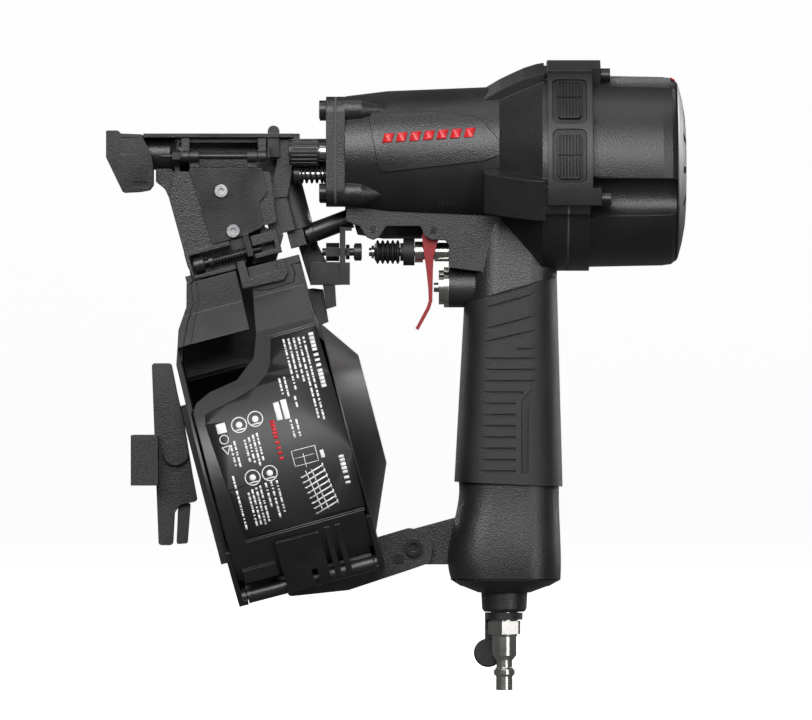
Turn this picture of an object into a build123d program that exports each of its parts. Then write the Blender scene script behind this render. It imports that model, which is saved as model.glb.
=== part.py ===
from build123d import *
import os
from math import atan2, cos, degrees, hypot, radians, sin

# Pneumatic coil roofing nailer. Millimetres, +Z up, nose towards -X, left side towards -Y.
# The origin is the centre of the hand grip.

# ---------------------------------------------------------------- driving dimensions
AXIS_Z = 111.0          # drive axis: cylinder, piston, blade and nose bore
CAP_Z = 103.0           # axis of the rear cap and of the bell's rear flange
TILT = 14.7             # tilt of the magazine about Y, degrees
DRUM_X, DRUM_Z = -107.4, -33.5          # origin of the tilted magazine frame
WALL = 2.5              # thickness of the magazine's moulded walls
GAP = 0.3               # clearance between bodies that move past each other
FIT = 0.05              # radial clearance of a running fit

NOSE_FLANGE = (-86.5, -82.6)            # X extent of the square flange on the nose casting
GASKET_X = (-82.6, -81.6)
FRONT_FLANGE = (-81.6, -77.7)           # matching flange on the body housing
FLANGE_Z, FLANGE_HALF = 112.0, 25.4
NOSE_BOLT = 19.3                        # half spacing of the four nose bolts
FLANGE_CORNER = 7.5
BARREL = ((-77.7, 27.0), (-58.0, 29.4), (-6.0, 31.5))       # X and radius along the barrel
BELL_X, FLANGE_X = (-6.0, 14.0), (14.0, 25.6)
FLANGE_R = 46.5
CAP_GASKET_X = (25.6, 26.4)
CAP_FLANGE_X = (26.4, 36.0)
DOME_X, DOME_R, DOME_R_REAR = (36.0, 76.4), 44.7, 43.4
CAP_BOLT_R, CAP_BOLT_ANGLES = 46.4, (17.0, 107.0, 253.0, 343.0)
CAP_BOLT_HOLE = 2.2
LOBE_R = 49.8                           # outer radius of the bolt lobes on both flanges
LOBE_HALF_ANGLE = 7.5

LINER_X, LINER_R, BORE_R = (-81.4, 25.8), 21.0, 19.0
BUMPER_X = (-81.3, -66.5)
PISTON_X = (13.0, 25.0)
BLADE_R, BLADE_TIP_X = 3.0, -106.0
NOSE_BORE_R = 5.2
CHAMBER_R = 39.0

GRIP_TOP, GRIP_BOTTOM = 58.0, -45.0     # rubber sleeve, before its slanted ends are cut
HOUSING_BOTTOM = -87.2
PLUG_X = -3.4                           # axis of the air inlet
VALVE_Z, ROD_Z = 48.8, 65.3             # trigger valve axis and trip rod axis
VALVE_FACE_X = -29.3                    # machined face that carries the trigger valve
CHEEK_HALF, SLOT_HALF = 12.0, 8.5
VALVE_BOSS_R = 9.4
TRIGGER_PIVOT = (-36.5, 75.1)
FRONT_PIN = (-64.6, 75.5)

DRUM_Y, DRUM_R = -14.0, 57.0
DRUM_A = (-35.1, 34.6)                  # extent of the drum along its own axis
COVER_HINGE = (-40.4, -55.0)            # Y and height in the magazine frame
DOOR_HINGE_Y, DOOR_HINGE_Z = -17.0, 109.7
LATCH_Y, LATCH_B = -19.0, 99.4
FEED_A, FEED_Y, FEED_R = 35.5, 5.5, 7.0     # feed cylinder in the magazine frame
FEED_BORE = 5.5

TILTED = Pos(DRUM_X, 0, DRUM_Z) * Rot(0, -TILT, 0)


# ---------------------------------------------------------------- plain shapes
def block(x, y, z):
    """Box between two corners."""
    centre = [(low + high) / 2 for low, high in (x, y, z)]
    return Pos(*centre) * Box(x[1] - x[0], y[1] - y[0], z[1] - z[0])


def rod_x(x, radius, y=0.0, z=AXIS_Z):
    return Pos((x[0] + x[1]) / 2, y, z) * Rot(0, 90, 0) * Cylinder(radius, x[1] - x[0])


def rod_y(y, radius, x, z):
    return Pos(x, (y[0] + y[1]) / 2, z) * Rot(90, 0, 0) * Cylinder(radius, y[1] - y[0])


def rod_z(z, radius, x, y):
    return Pos(x, y, (z[0] + z[1]) / 2) * Cylinder(radius, z[1] - z[0])


def tube_x(x, outer, inner, y=0.0, z=AXIS_Z):
    return rod_x(x, outer, y, z) - rod_x((x[0] - 1, x[1] + 1), inner, y, z)


def cone_x(x, radius_0, radius_1, y=0.0, z=AXIS_Z):
    return Pos((x[0] + x[1]) / 2, y, z) * Rot(0, 90, 0) * Cone(radius_0, radius_1, x[1] - x[0])


def hex_x(x, across_flats, y, z):
    face = RegularPolygon(across_flats / 2, 6, major_radius=False)
    return Pos(x[0], y, z) * Rot(0, 90, 0) * extrude(face, x[1] - x[0])


def nose_bolt_places():
    return [(y, FLANGE_Z + z) for y in (-NOSE_BOLT, NOSE_BOLT) for z in (-NOSE_BOLT, NOSE_BOLT)]


def square_flange(x):
    """Square plate with round corners at the joint between nose and body."""
    half = FLANGE_HALF
    corners = [(-half, FLANGE_Z - half), (half, FLANGE_Z - half),
               (half, FLANGE_Z + half), (-half, FLANGE_Z + half)]
    return cross_plate(corners, x, FLANGE_CORNER)


def closed_wire(points, radius):
    if radius:
        return FilletPolyline(*points, radius=radius, close=True)
    return Polyline(*points, close=True)


def side_plate(outline, y, radius=0.0):
    """Outline in X and Z, extruded across the tool."""
    wire = closed_wire([(x, y[0], z) for x, z in outline], radius)
    return extrude(make_face(wire), amount=y[1] - y[0], dir=(0, 1, 0))


def cross_plate(outline, x, radius=0.0):
    """Outline in Y and Z, extruded along the tool."""
    wire = closed_wire([(x[0], y, z) for y, z in outline], radius)
    return extrude(make_face(wire), amount=x[1] - x[0], dir=(1, 0, 0))


def disc_face(x, radius, z, y=0.0):
    return Plane((x, y, z), z_dir=(1, 0, 0)) * Circle(radius)


def ring_sector(x, radii, angles, z=CAP_Z):
    """Part of a ring about the X direction; angles run from the top towards -Y."""
    middle = Pos((x[0] + x[1]) / 2, 0, (radii[0] + radii[1]) / 2)
    face = middle * (Plane.XZ * Rectangle(x[1] - x[0], radii[1] - radii[0]))
    swept = revolve(face, Axis.X, revolution_arc=angles[1] - angles[0])
    return Pos(0, 0, z) * Rot(angles[0], 0, 0) * swept


def revolved_x(profile, z=AXIS_Z, y=0.0):
    """Profile in X and radius, closed along the axis."""
    points = [(profile[0][0], 0, 0)] + [(x, 0, r) for x, r in profile] + [(profile[-1][0], 0, 0)]
    return Pos(0, y, z) * revolve(make_face(Polyline(*points, close=True)), Axis.X)


def revolved_z(profile, x, y=0.0):
    """Profile in radius and Z, closed along the axis."""
    points = [(0, 0, profile[0][1])] + [(r, 0, z) for r, z in profile] + [(0, 0, profile[-1][1])]
    return Pos(x, y, 0) * revolve(make_face(Polyline(*points, close=True)), Axis.Z)


def oval_section(z, x_front, x_rear, half_depth, corner):
    """Rounded horizontal section of the handle."""
    face = RectangleRounded(x_rear - x_front, 2 * half_depth, corner)
    return Pos((x_front + x_rear) / 2, 0, z) * face


def around_cap(angle, radius):
    """Y and Z of a point at an angle from the top towards -Y, about the cap's axis."""
    return -radius * sin(radians(angle)), CAP_Z + radius * cos(radians(angle))


def socket_screw(head_r, head_h, shank_r, shank_l, socket_af):
    """Socket head screw: head above z=0, shank below."""
    head = Pos(0, 0, head_h / 2) * Cylinder(head_r, head_h)
    socket = Pos(0, 0, head_h * 0.4) * extrude(
        RegularPolygon(socket_af / 2, 6, major_radius=False), head_h)
    shank = Pos(0, 0, -shank_l / 2) * Cylinder(shank_r, shank_l)
    return head - socket + shank


# ---------------------------------------------------------------- body housing
CHEEK_OUTLINE = (
    (-77.2, 90.0), (-77.2, 79.6), (-70.9, 77.2), (-67.6, 72.2), (-64.6, 71.0), (-61.4, 72.6),
    (-58.6, 77.3), (-42.6, 77.3), (-40.4, 72.4), (-37.6, 71.0), (-30.8, 70.8), (-29.3, 68.5),
    (-29.3, 58.0), (-14.0, 56.0), (-12.0, 50.0), (16.0, 50.0), (15.0, 60.0), (2.8, 76.7),
    (-4.7, 80.0), (-4.7, 92.0))
FAR_WEB = ((-74.0, 80.0), (-72.0, 73.5), (-60.0, 71.6), (-42.0, 71.6), (-38.0, 80.0))
PANEL_OUTLINE = (
    (-67.0, 129.7), (-36.3, 130.4), (-16.3, 128.3), (-0.9, 111.4), (-13.9, 107.2), (-61.6, 101.8))
PANEL_RAISE = 0.9
GRIP_CORE = ((-42.5, -24.2, 21.1, 18.0, 15.0), (54.0, -18.8, 18.4, 14.0, 13.0))
LOWER_HOUSING = (
    (-40.0, -24.9, 22.2, 19.0, 16.0), (-56.0, -25.8, 22.2, 19.4, 16.0),
    (-70.0, -29.0, 22.8, 20.5, 16.5), (HOUSING_BOTTOM, -28.3, 22.8, 20.5, 16.5))
RAMP_HALF = 9.5                         # half width of the ramps ahead of the cap bolts


def barrel_shell():
    barrel = revolved_x(BARREL)
    bell = loft([disc_face(BELL_X[0], BARREL[-1][1], AXIS_Z), disc_face(BELL_X[1], FLANGE_R, CAP_Z)])
    return barrel + bell + rod_x(FLANGE_X, FLANGE_R, 0, CAP_Z)


def flange_lobes(x):
    """Lobes of a rear flange that carry the cap bolts."""
    lobes = None
    for angle in CAP_BOLT_ANGLES:
        lobe = ring_sector(x, (40.0, LOBE_R), (angle - LOBE_HALF_ANGLE, angle + LOBE_HALF_ANGLE))
        lobes = lobe if lobes is None else lobes + lobe
    return lobes


def boss_ramps():
    """Faceted ramps that carry the cap bolts' threads forward into the bell."""
    outline = [(-14.0, 30.0), (-13.0, 37.5), (-5.6, 42.0), (0.0, 44.8), (5.6, 47.4), (11.0, 49.2),
               (FLANGE_X[0], LOBE_R), (FLANGE_X[0] + 1.0, LOBE_R), (FLANGE_X[0] + 1.0, 30.0)]
    ramps = None
    for angle in CAP_BOLT_ANGLES:
        ramp = Pos(0, 0, CAP_Z) * Rot(angle, 0, 0) * side_plate(outline, (-RAMP_HALF, RAMP_HALF))
        ramps = ramp if ramps is None else ramps + ramp
    return ramps


def side_panels():
    """Raised panel on each side of the barrel."""
    skin = revolved_x([(x, r + PANEL_RAISE) for x, r in BARREL])
    left = side_plate(PANEL_OUTLINE, (-45.0, -12.0), 3.0)
    return (skin & left) + (skin & mirror(left, Plane.XZ))


def corner_ribs():
    """Bosses behind the front flange for the nose bolts."""
    ribs = None
    for y, z in nose_bolt_places():
        rib = rod_x((FRONT_FLANGE[1] - 1, -70.0), 5.8, y, z) + cone_x((-70.0, -58.0), 5.8, 1.5, y, z)
        ribs = rib if ribs is None else ribs + rib
    return ribs


def handle_solid():
    grip = loft([oval_section(*s) for s in GRIP_CORE])
    shoulder = loft([oval_section(38.0, -20.5, 20.6, 16.0, 14.0), oval_section(80.0, -16.0, 22.0, 12.0, 10.0)])
    lower = loft([oval_section(*s) for s in LOWER_HOUSING])
    _, *core = GRIP_CORE[0]
    neck = extrude(oval_section(-47.0, *core), 5.0)
    return grip + neck + (shoulder & above_sleeve()) + (lower & below_sleeve())


def above_sleeve():
    """Space over the sleeve's slanted top end."""
    return side_plate([(-40, 36.2), (40, 59.4), (40, 90), (-40, 90)], (-40, 40))


def below_sleeve():
    """Space under the sleeve's slanted bottom end."""
    return side_plate([(-40, -41.3), (40, -44.8), (40, -100), (-40, -100)], (-40, 40))


def handle_air_chamber():
    lower = loft([oval_section(-88.0, -22.0, 17.0, 15.5, 12.0), oval_section(-46.0, -19.5, 16.5, 14.0, 12.0)])
    upper = loft([oval_section(-46.0, -19.5, 16.5, 14.0, 12.0), oval_section(62.0, -9.0, 13.5, 9.5, 8.0)])
    port = block((4.0, 16.0), (-7.0, 7.0), (56.0, 68.0))
    return lower + upper + port


def magazine_lug():
    """Lug on the front of the handle that carries the magazine arm."""
    outline = [(-46.0, -64.0), (-24.0, -58.0), (-24.0, -80.5), (-41.0, -80.5), (-46.5, -76.0)]
    return side_plate(outline, (-3.0, 3.0), 1.5)


MAGAZINE_BOLT = (-45.8, -72.4)


def body_housing():
    body = barrel_shell() + boss_ramps() + flange_lobes(FLANGE_X) + side_panels()
    body += corner_ribs() + square_flange(FRONT_FLANGE)
    body += side_plate(CHEEK_OUTLINE, (-CHEEK_HALF, CHEEK_HALF), 1.0)
    body += rod_x((VALVE_FACE_X, -10.0), VALVE_BOSS_R, 0, VALVE_Z)
    body += handle_solid() + magazine_lug() + rod_y((-5, 5), 8.0, *MAGAZINE_BOLT)
    body += side_plate(FAR_WEB, (SLOT_HALF - 0.5, CHEEK_HALF))
    body -= block((-90.0, VALVE_FACE_X), (-SLOT_HALF, SLOT_HALF), (50.0, 79.4))
    body -= rod_x((FRONT_FLANGE[0] - 1, FLANGE_X[1] + 1), LINER_R + 0.2)
    body -= rod_x((-58.0, -12.0), 24.5) + seal_grooves()
    body -= rod_x((10.0, FLANGE_X[1] + 1), CHAMBER_R, 0, CAP_Z)
    body -= handle_air_chamber()
    body -= rod_x((VALVE_FACE_X - 1, 0.0), 7.0, 0, VALVE_Z)
    body -= rod_x((VALVE_FACE_X - 1, -18.0), 3.3, 0, ROD_Z)
    for y, z in nose_bolt_places():
        body -= rod_x((FRONT_FLANGE[0] - 1, -67.0), 2.7, y, z)
    for angle in CAP_BOLT_ANGLES:
        body -= rod_x((12.0, FLANGE_X[1] + 1), CAP_BOLT_HOLE, *around_cap(angle, CAP_BOLT_R))
    for x, z in (TRIGGER_PIVOT, FRONT_PIN):
        body -= rod_y((-CHEEK_HALF - 1, CHEEK_HALF + 1), 1.6, x, z)
    body -= rod_y((-9, 9), 2.6, *MAGAZINE_BOLT)
    return body - air_tube_path(TUBE_R + 0.1)


# ---------------------------------------------------------------- cylinder and drive
def cylinder_liner():
    return tube_x(LINER_X, LINER_R, BORE_R)


def piston_bumper():
    ring = rod_x(BUMPER_X, BORE_R - 0.2)
    return ring - rod_x((BUMPER_X[0] - 1, BUMPER_X[1] + 1), BLADE_R + 1.0)


def piston():
    head = rod_x(PISTON_X, BORE_R - FIT - 0.02)
    groove = tube_x((17.0, 20.0), BORE_R, 16.4)
    return head - groove - rod_x((20.0, 26.0), 12.0)


def piston_ring():
    return tube_x((17.2, 19.8), BORE_R - FIT, 16.5)


def driver_blade():
    return rod_x((BLADE_TIP_X, PISTON_X[0]), BLADE_R)


HEAD_VALVE_X, HEAD_VALVE_R = (26.2, 30.2), 25.5


def head_valve():
    """Poppet that seals the rear end of the cylinder and slides in the cap."""
    disc = rod_x(HEAD_VALVE_X, HEAD_VALVE_R)
    stem = tube_x((HEAD_VALVE_X[1], 45.0), 12.0, 9.0)
    return disc + stem


def head_valve_spring():
    return tube_x((30.6, 49.4), 17.0, 14.4)


SEAL_GROOVES = ((-76.2, -73.8), (-9.2, -6.8))


def seal_rings():
    """O-rings round both ends of the cylinder."""
    places = [sum(x) / 2 for x in SEAL_GROOVES]
    ring = Rot(0, 90, 0) * Torus(LINER_R + 1.2, 1.0)
    return Compound(children=[Pos(x, 0, AXIS_Z) * ring for x in places])


def seal_grooves():
    first, second = (tube_x(x, LINER_R + 2.4, LINER_R - 1) for x in SEAL_GROOVES)
    return first + second


# ---------------------------------------------------------------- rear cap
TROUGH_R = 9.5
DOME_BORE_R = 34.5
BULKHEAD_X = (49.8, 52.4)               # wall between the valve chamber and the exhaust chamber


def rear_cap():
    outer = rod_x(CAP_FLANGE_X, FLANGE_R, 0, CAP_Z) + flange_lobes(CAP_FLANGE_X)
    dome = revolved_x([(DOME_X[0] - 1, DOME_R), (70.0, DOME_R_REAR + 0.6), (74.4, DOME_R_REAR),
                       (DOME_X[1], DOME_R_REAR - 1.6)], CAP_Z)
    cap = outer + dome
    cap -= rod_x((CAP_FLANGE_X[0] - 1, 34.0), CHAMBER_R, 0, CAP_Z)
    cap -= rod_x((33.0, BULKHEAD_X[0]), DOME_BORE_R, 0, CAP_Z)
    cap -= rod_x((BULKHEAD_X[1], 66.0), DOME_BORE_R, 0, CAP_Z)
    cap += tube_x((36.0, BULKHEAD_X[0] + 0.5), 14.0, 12.0 + FIT)
    cap -= rod_x((BULKHEAD_X[0] - 1, BULKHEAD_X[1] + 1), 9.0)
    for angle in CAP_BOLT_ANGLES:
        y, z = around_cap(angle, CAP_BOLT_R)
        cap -= rod_x((CAP_FLANGE_X[1] + 0.01, DOME_X[1] + 1), TROUGH_R, y, z)
        cap -= rod_x((CAP_FLANGE_X[0] - 1, CAP_FLANGE_X[1] + 1), CAP_BOLT_HOLE, y, z)
    for angle in range(0, 360, 45):
        y, z = around_cap(angle, 30.0)
        cap -= rod_x((66.0, DOME_X[1] + 1), 3.2, y, z)
    return cap - rod_x((60.0, DOME_X[1] + 1), 2.6, 0, CAP_Z)


def cap_gasket():
    ring = rod_x(CAP_GASKET_X, FLANGE_R, 0, CAP_Z) + flange_lobes(CAP_GASKET_X)
    ring -= rod_x((CAP_GASKET_X[0] - 1, CAP_GASKET_X[1] + 1), CHAMBER_R, 0, CAP_Z)
    for angle in CAP_BOLT_ANGLES:
        place = around_cap(angle, CAP_BOLT_R)
        ring -= rod_x((CAP_GASKET_X[0] - 1, CAP_GASKET_X[1] + 1), CAP_BOLT_HOLE, *place)
    return ring


COVER_SCREW_X = 80.0
COVER_OUTER = ((76.7, 42.0), (77.6, 40.2), (79.4, 33.5), (80.7, 26.0), (81.2, 20.0))
COVER_INNER = ((76.5, 37.5), (77.4, 33.0), (78.6, 26.0), (79.0, 20.0))


def cap_bolts():
    """Cap bolts, with the screw of the exhaust cover."""
    bolts = []
    for angle in CAP_BOLT_ANGLES:
        y, z = around_cap(angle, CAP_BOLT_R)
        bolts.append(Pos(EAR_X[1] + 0.1, y, z) * Rot(0, 90, 0) * socket_screw(3.3, 4.4, 2.0, 28.0, 3.4))
    bolts.append(Pos(COVER_SCREW_X, 0, CAP_Z) * Rot(0, 90, 0) * socket_screw(4.2, 1.1, 2.5, 13.0, 3.0))
    return Compound(children=bolts)


def exhaust_cover():
    """Domed cover on the back of the cap, with exhaust slots and a centre screw seat."""
    boss = rod_x((70.0, 90.0), 8.0, 0, CAP_Z)
    cover = revolved_x(COVER_OUTER, CAP_Z) - (revolved_x(COVER_INNER, CAP_Z) - boss)
    for angle in range(0, 360, 30):
        slot = block((75.0, 83.0), (-1.6, 1.6), (24.0, 33.0))
        cover -= Pos(0, 0, CAP_Z) * Rot(angle, 0, 0) * slot
    return cover - rod_x((75.0, 83.0), 2.7, 0, CAP_Z) - rod_x((COVER_SCREW_X - 0.1, 83.0), 6.0, 0, CAP_Z)


# ---------------------------------------------------------------- guards
GUARD_X, GUARD_R = (16.4, 37.2), (47.0, 50.2)
CLASP_R = (50.0, 52.4)
EAR_X = (36.6, 41.2)
EAR_LOW_Z = 86.4                        # the lower clasps end level with their bolts
WINDOW_X, WINDOW_CORNER = (18.6, 34.4), 3.2
WINDOW_ANGLES = ((15.4, 48.0), (51.0, 80.9))        # from the upper bolt of each guard
PAD_MARGIN, PAD_RISE = 2.4, 0.8
RIB_PITCH, RIB_GAP = 1.5, 0.6


def guard():
    """Left guard between two cap bolts: band, clasps over the lobes and ears under the bolt heads."""
    low, high = CAP_BOLT_ANGLES[:2]
    band = ring_sector(GUARD_X, GUARD_R, (low + LOBE_HALF_ANGLE + 0.6, high - LOBE_HALF_ANGLE - 0.6))
    for angle, span in ((low, (low - 7.2, low + 11.0)), (high, (high - 11.0, high + 7.2))):
        around_bolt = (angle - 7.2, angle + 7.2)
        band += ring_sector(GUARD_X, CLASP_R, span)
        band += ring_sector((GUARD_X[1] - 1.0, EAR_X[1]), CLASP_R, around_bolt)
        band += ring_sector(EAR_X, (44.0, CLASP_R[1]), around_bolt)
        band -= rod_x((EAR_X[0] - 1, EAR_X[1] + 1), CAP_BOLT_HOLE, *around_cap(angle, CAP_BOLT_R))
    band -= block((10.0, 50.0), (-60.0, 0.0), (60.0, EAR_LOW_Z))
    for span in WINDOW_ANGLES:
        band -= window_prism(span, 0.0)
    return band


def window_prism(span, inset):
    """Radial prism with round corners over one window of the left guard."""
    start, end = (CAP_BOLT_ANGLES[0] + angle for angle in span)
    height = 2 * GUARD_R[1] * sin(radians((end - start) / 2))
    face = RectangleRounded(WINDOW_X[1] - WINDOW_X[0] - 2 * inset, height - 2 * inset, WINDOW_CORNER - inset / 2)
    prism = Pos(sum(WINDOW_X) / 2, 0, 40.0) * extrude(face, 20.0)
    return Pos(0, 0, CAP_Z) * Rot((start + end) / 2, 0, 0) * prism


def side_guards():
    left = guard()
    return Compound(children=[left, mirror(left, Plane.XZ)])


def guard_pad(span):
    """Rubber pad with a sunk border and fine ribs round the cap."""
    start, end = (CAP_BOLT_ANGLES[0] + angle for angle in span)
    around = (start - 8.0, end + 8.0)
    pad = ring_sector(WINDOW_X, (GUARD_R[0], GUARD_R[1] - 0.7), around) & window_prism(span, 0.1)
    raised = ring_sector(WINDOW_X, (GUARD_R[0], GUARD_R[1] + PAD_RISE), around)
    pad += raised & window_prism(span, PAD_MARGIN)
    groove_r = (GUARD_R[1], GUARD_R[1] + 3.0)
    ribs = int((WINDOW_X[1] - WINDOW_X[0] - 2 * PAD_MARGIN) / RIB_PITCH)
    for rib in range(ribs):
        x = WINDOW_X[0] + PAD_MARGIN + 0.8 + rib * RIB_PITCH
        pad -= ring_sector((x, x + RIB_GAP), groove_r, (start + 4.0, end - 4.0))
    middle = (start + end) / 2
    return pad - ring_sector(WINDOW_X, (GUARD_R[1] - 0.4, GUARD_R[1] + 3.0), (middle - 0.5, middle + 0.5))


def guard_pads():
    pads = [guard_pad(span) for span in WINDOW_ANGLES]
    return Compound(children=pads + [mirror(pad, Plane.XZ) for pad in pads])


# ---------------------------------------------------------------- grip, end cap and air inlet
SLEEVE_HALF = (20.6, 16.4)              # half depth of the sleeve at its bottom and top


def grip_sleeve():
    """Moulded rubber sleeve with slanted ends, diagonal grooves and finger slots."""
    outer = loft([oval_section(GRIP_BOTTOM, -26.9, 23.8, SLEEVE_HALF[0], 17.0),
                  oval_section(GRIP_TOP, -21.2, 21.0, SLEEVE_HALF[1], 15.0)])
    inner = loft([oval_section(*s) for s in GRIP_CORE])
    low_z, *low_section = GRIP_CORE[0]
    sleeve = outer - inner - extrude(oval_section(low_z - 8.0, *low_section), 8.0)
    sleeve = sleeve - above_sleeve() - below_sleeve()
    sleeve -= side_plate(CHEEK_OUTLINE, (-CHEEK_HALF - 0.1, CHEEK_HALF + 0.1), 1.0)
    boss = rod_x((VALVE_FACE_X, -10.0), VALVE_BOSS_R + 0.2, 0, VALVE_Z)
    return sleeve - boss - grip_pattern()


GROOVE_DEPTH = 0.9


def grip_pattern():
    """Cutters for the grooves on both sides of the sleeve."""
    cutters = []
    for rise_low, rise_high in ((41.3, 51.1), (36.6, 46.6), (26.9, 36.1), (21.1, 29.2)):
        cutters.append([(-18.0, rise_low), (17.5, rise_high), (17.5, rise_high + 1.3), (-18.0, rise_low + 1.3)])
    for row in range(11):
        z = 14.4 - row * 5.24
        end = 10.7 if row < 3 else (5.0 if row == 3 else 1.6)
        cutters.append([(-17.5, z), (end, z), (end, z + 1.5), (-17.5, z + 1.5)])
    cutters.append([(2.3, 19.0), (11.4, 19.0), (11.4, 20.4), (2.3, 20.4)])
    cutters.append([(4.4, -38.0), (7.6, -38.0), (7.6, -5.5), (12.8, 1.2), (12.8, 5.0), (4.4, -4.0)])
    cutters.append([(16.2, 4.0), (17.2, 4.0), (17.2, 29.0), (16.2, 29.0)])
    cutters.append([(15.0, -39.5), (16.2, -39.5), (16.2, -8.4), (15.0, -8.4)])
    pattern = []
    for outline in cutters:
        for side in (-1, 1):
            pattern.append(groove_on_side(outline, side))
    return pattern


def groove_on_side(outline, side):
    """Prism that enters the sleeve's side by the groove depth, following the sleeve's taper."""
    mean_z = sum(z for _, z in outline) / len(outline)
    share = (mean_z - GRIP_BOTTOM) / (GRIP_TOP - GRIP_BOTTOM)
    surface = SLEEVE_HALF[0] + (SLEEVE_HALF[1] - SLEEVE_HALF[0]) * share
    near = surface - GROOVE_DEPTH
    span = (-surface - 5, -near) if side < 0 else (near, surface + 5)
    return side_plate(outline, span)


def end_cap():
    """Screwed end of the handle with the threaded bush for the air inlet."""
    rim = loft([oval_section(-90.6, -23.6, 17.4, 16.4, 14.0),
                oval_section(HOUSING_BOTTOM - 0.3, -28.5, 22.9, 20.7, 16.5)])
    cone = loft([oval_section(-93.6, -15.6, 8.8, 12.1, 12.0), oval_section(-90.5, -23.2, 17.0, 16.0, 13.8)])
    bush = revolved_z([(10.9, -92.0), (10.6, -97.0), (10.4, -101.2), (9.4, -102.6)], PLUG_X)
    plug = loft([oval_section(-88.0, -21.5, 16.5, 15.0, 12.0), oval_section(-80.0, -21.5, 16.5, 15.0, 12.0)])
    return rim + cone + bush + plug - rod_z((-104.0, -79.0), 5.2, PLUG_X, 0)


COLLAR_R = 6.2                          # round collar on the air plug that the tether ring turns on
HEX_TURN = 22.0


def air_plug():
    """Quarter-inch industrial quick-connect plug."""
    profile = [(5.1, -96.0), (5.1, -102.8), (COLLAR_R, -102.8), (COLLAR_R, -113.4), (5.7, -114.2), (5.7, -123.0),
               (3.7, -125.4), (3.7, -128.6), (4.9, -129.6), (4.9, -131.8), (3.85, -132.8), (3.85, -139.2)]
    turned = revolved_z(profile, PLUG_X)
    hexagon = extrude(RegularPolygon(7.1, 6, major_radius=False), 6.2)
    hexagon = Pos(PLUG_X, 0, -113.1) * Rot(0, 0, HEX_TURN) * hexagon
    return turned + hexagon - rod_z((-140.0, -95.0), 2.6, PLUG_X, 0)


KNOB_PLACE = (-10.9, -122.1)            # X and Z of the dust cap's knob


def dust_cap():
    """Rubber plug on a tether ring that turns on the collar of the air plug."""
    ring = rod_z((-106.3, -103.1), 8.6, PLUG_X, 0) - rod_z((-107.0, -102.0), COLLAR_R + GAP, PLUG_X, 0)
    tab = block((-12.4, -8.4), (4.4, 9.2), (-106.3, -103.1)) + block((-12.4, -8.4), (7.4, 9.2), (-118.0, -103.1))
    knob = rod_y((7.4, 14.6), 6.0, *KNOB_PLACE) + rod_y((9.4, 12.4), 6.7, *KNOB_PLACE)
    return ring + tab + knob - rod_y((12.0, 16.0), 3.8, *KNOB_PLACE)


# ---------------------------------------------------------------- trigger group
TRIGGER_CHEEK = (
    (-40.2, 78.0), (-33.2, 78.0), (-32.9, 73.0), (-34.6, 69.8), (-36.4, 63.2), (-36.7, 57.0), (-37.0, 42.0),
    (-38.2, 41.6), (-38.6, 48.4), (-40.7, 63.2), (-41.9, 72.6))
TRIGGER_WEB = (
    (-40.0, 58.6), (-38.3, 58.6), (-36.9, 48.4), (-37.0, 42.4), (-38.0, 38.9), (-43.5, 28.8), (-44.9, 29.7),
    (-39.7, 39.4), (-38.7, 42.6), (-38.9, 48.4))
TRIGGER_Y = (5.6, 7.6)


def trigger():
    """U-shaped lever: two cheeks on the pivot pin and a web under the finger."""
    lever = side_plate(TRIGGER_CHEEK, TRIGGER_Y) + side_plate(TRIGGER_CHEEK, (-TRIGGER_Y[1], -TRIGGER_Y[0]))
    lever += side_plate(TRIGGER_WEB, (-TRIGGER_Y[1], TRIGGER_Y[1]))
    return lever - rod_y((-9, 9), 1.5 + FIT, *TRIGGER_PIVOT)


def housing_pins():
    pins = rod_y((-CHEEK_HALF - 0.4, CHEEK_HALF + 0.4), 1.5, *TRIGGER_PIVOT)
    return Compound(children=[pins, rod_y((-CHEEK_HALF - 0.4, CHEEK_HALF + 0.4), 1.5, *FRONT_PIN)])


def trigger_valve_body():
    flange = rod_x((-31.6, VALVE_FACE_X), 9.4, 0, VALVE_Z) + rod_x((-34.0, -31.6), 8.0, 0, VALVE_Z)
    barrel = rod_x((VALVE_FACE_X, -2.0), 6.8, 0, VALVE_Z)
    bore = rod_x((-35.0, -6.0), 2.2 + FIT, 0, VALVE_Z) + rod_x((-24.0, -6.0), 4.2, 0, VALVE_Z)
    return flange + barrel - bore


def valve_plunger():
    return rod_x((-36.3, -12.0), 2.2, 0, VALVE_Z) + rod_x((-22.0, -20.0), 3.9, 0, VALVE_Z)


def valve_spring():
    return tube_x((-19.8, -6.4), 3.8, 2.5, 0, VALVE_Z)


ROD_R = 2.0
GUIDE_TUBE = (
    ((-45.2, -41.4), 4.9), ((-41.4, -36.0), 3.6), ((-36.0, VALVE_FACE_X), 4.4),
    ((VALVE_FACE_X, -19.0), 3.2))


def rod_guide_tube():
    """Stepped tube, screwed into the casting, that guides the trip rod between the trigger's cheeks."""
    tube = None
    for x, radius in GUIDE_TUBE:
        step = rod_x(x, radius, 0, ROD_Z)
        tube = step if tube is None else tube + step
    return tube - rod_x((-46.0, -18.0), ROD_R + FIT, 0, ROD_Z)


def boot_ring():
    ring = rod_x((-50.6, -45.3), 6.3, 0, ROD_Z) + rod_x((-52.0, -50.6), 4.2, 0, ROD_Z)
    return ring - rod_x((-53.0, -45.0), ROD_R + FIT, 0, ROD_Z)


def trip_rod():
    return rod_x((-66.6, -24.0), ROD_R, 0, ROD_Z) + rod_x((-65.4, -64.2), 3.0, 0, ROD_Z)


def rod_bellows():
    """Rubber boot, solid here with its outer and inner envelope."""
    profile = [(-64.0, 3.4)]
    for fold in range(5):
        start = -63.6 + fold * 2.3
        profile += [(start, 3.8), (start + 1.15, 5.6)]
    profile += [(-52.2, 3.8)]
    return revolved_x(profile, ROD_Z) - rod_x((-65.0, -51.0), ROD_R + 0.4, 0, ROD_Z)


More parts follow.
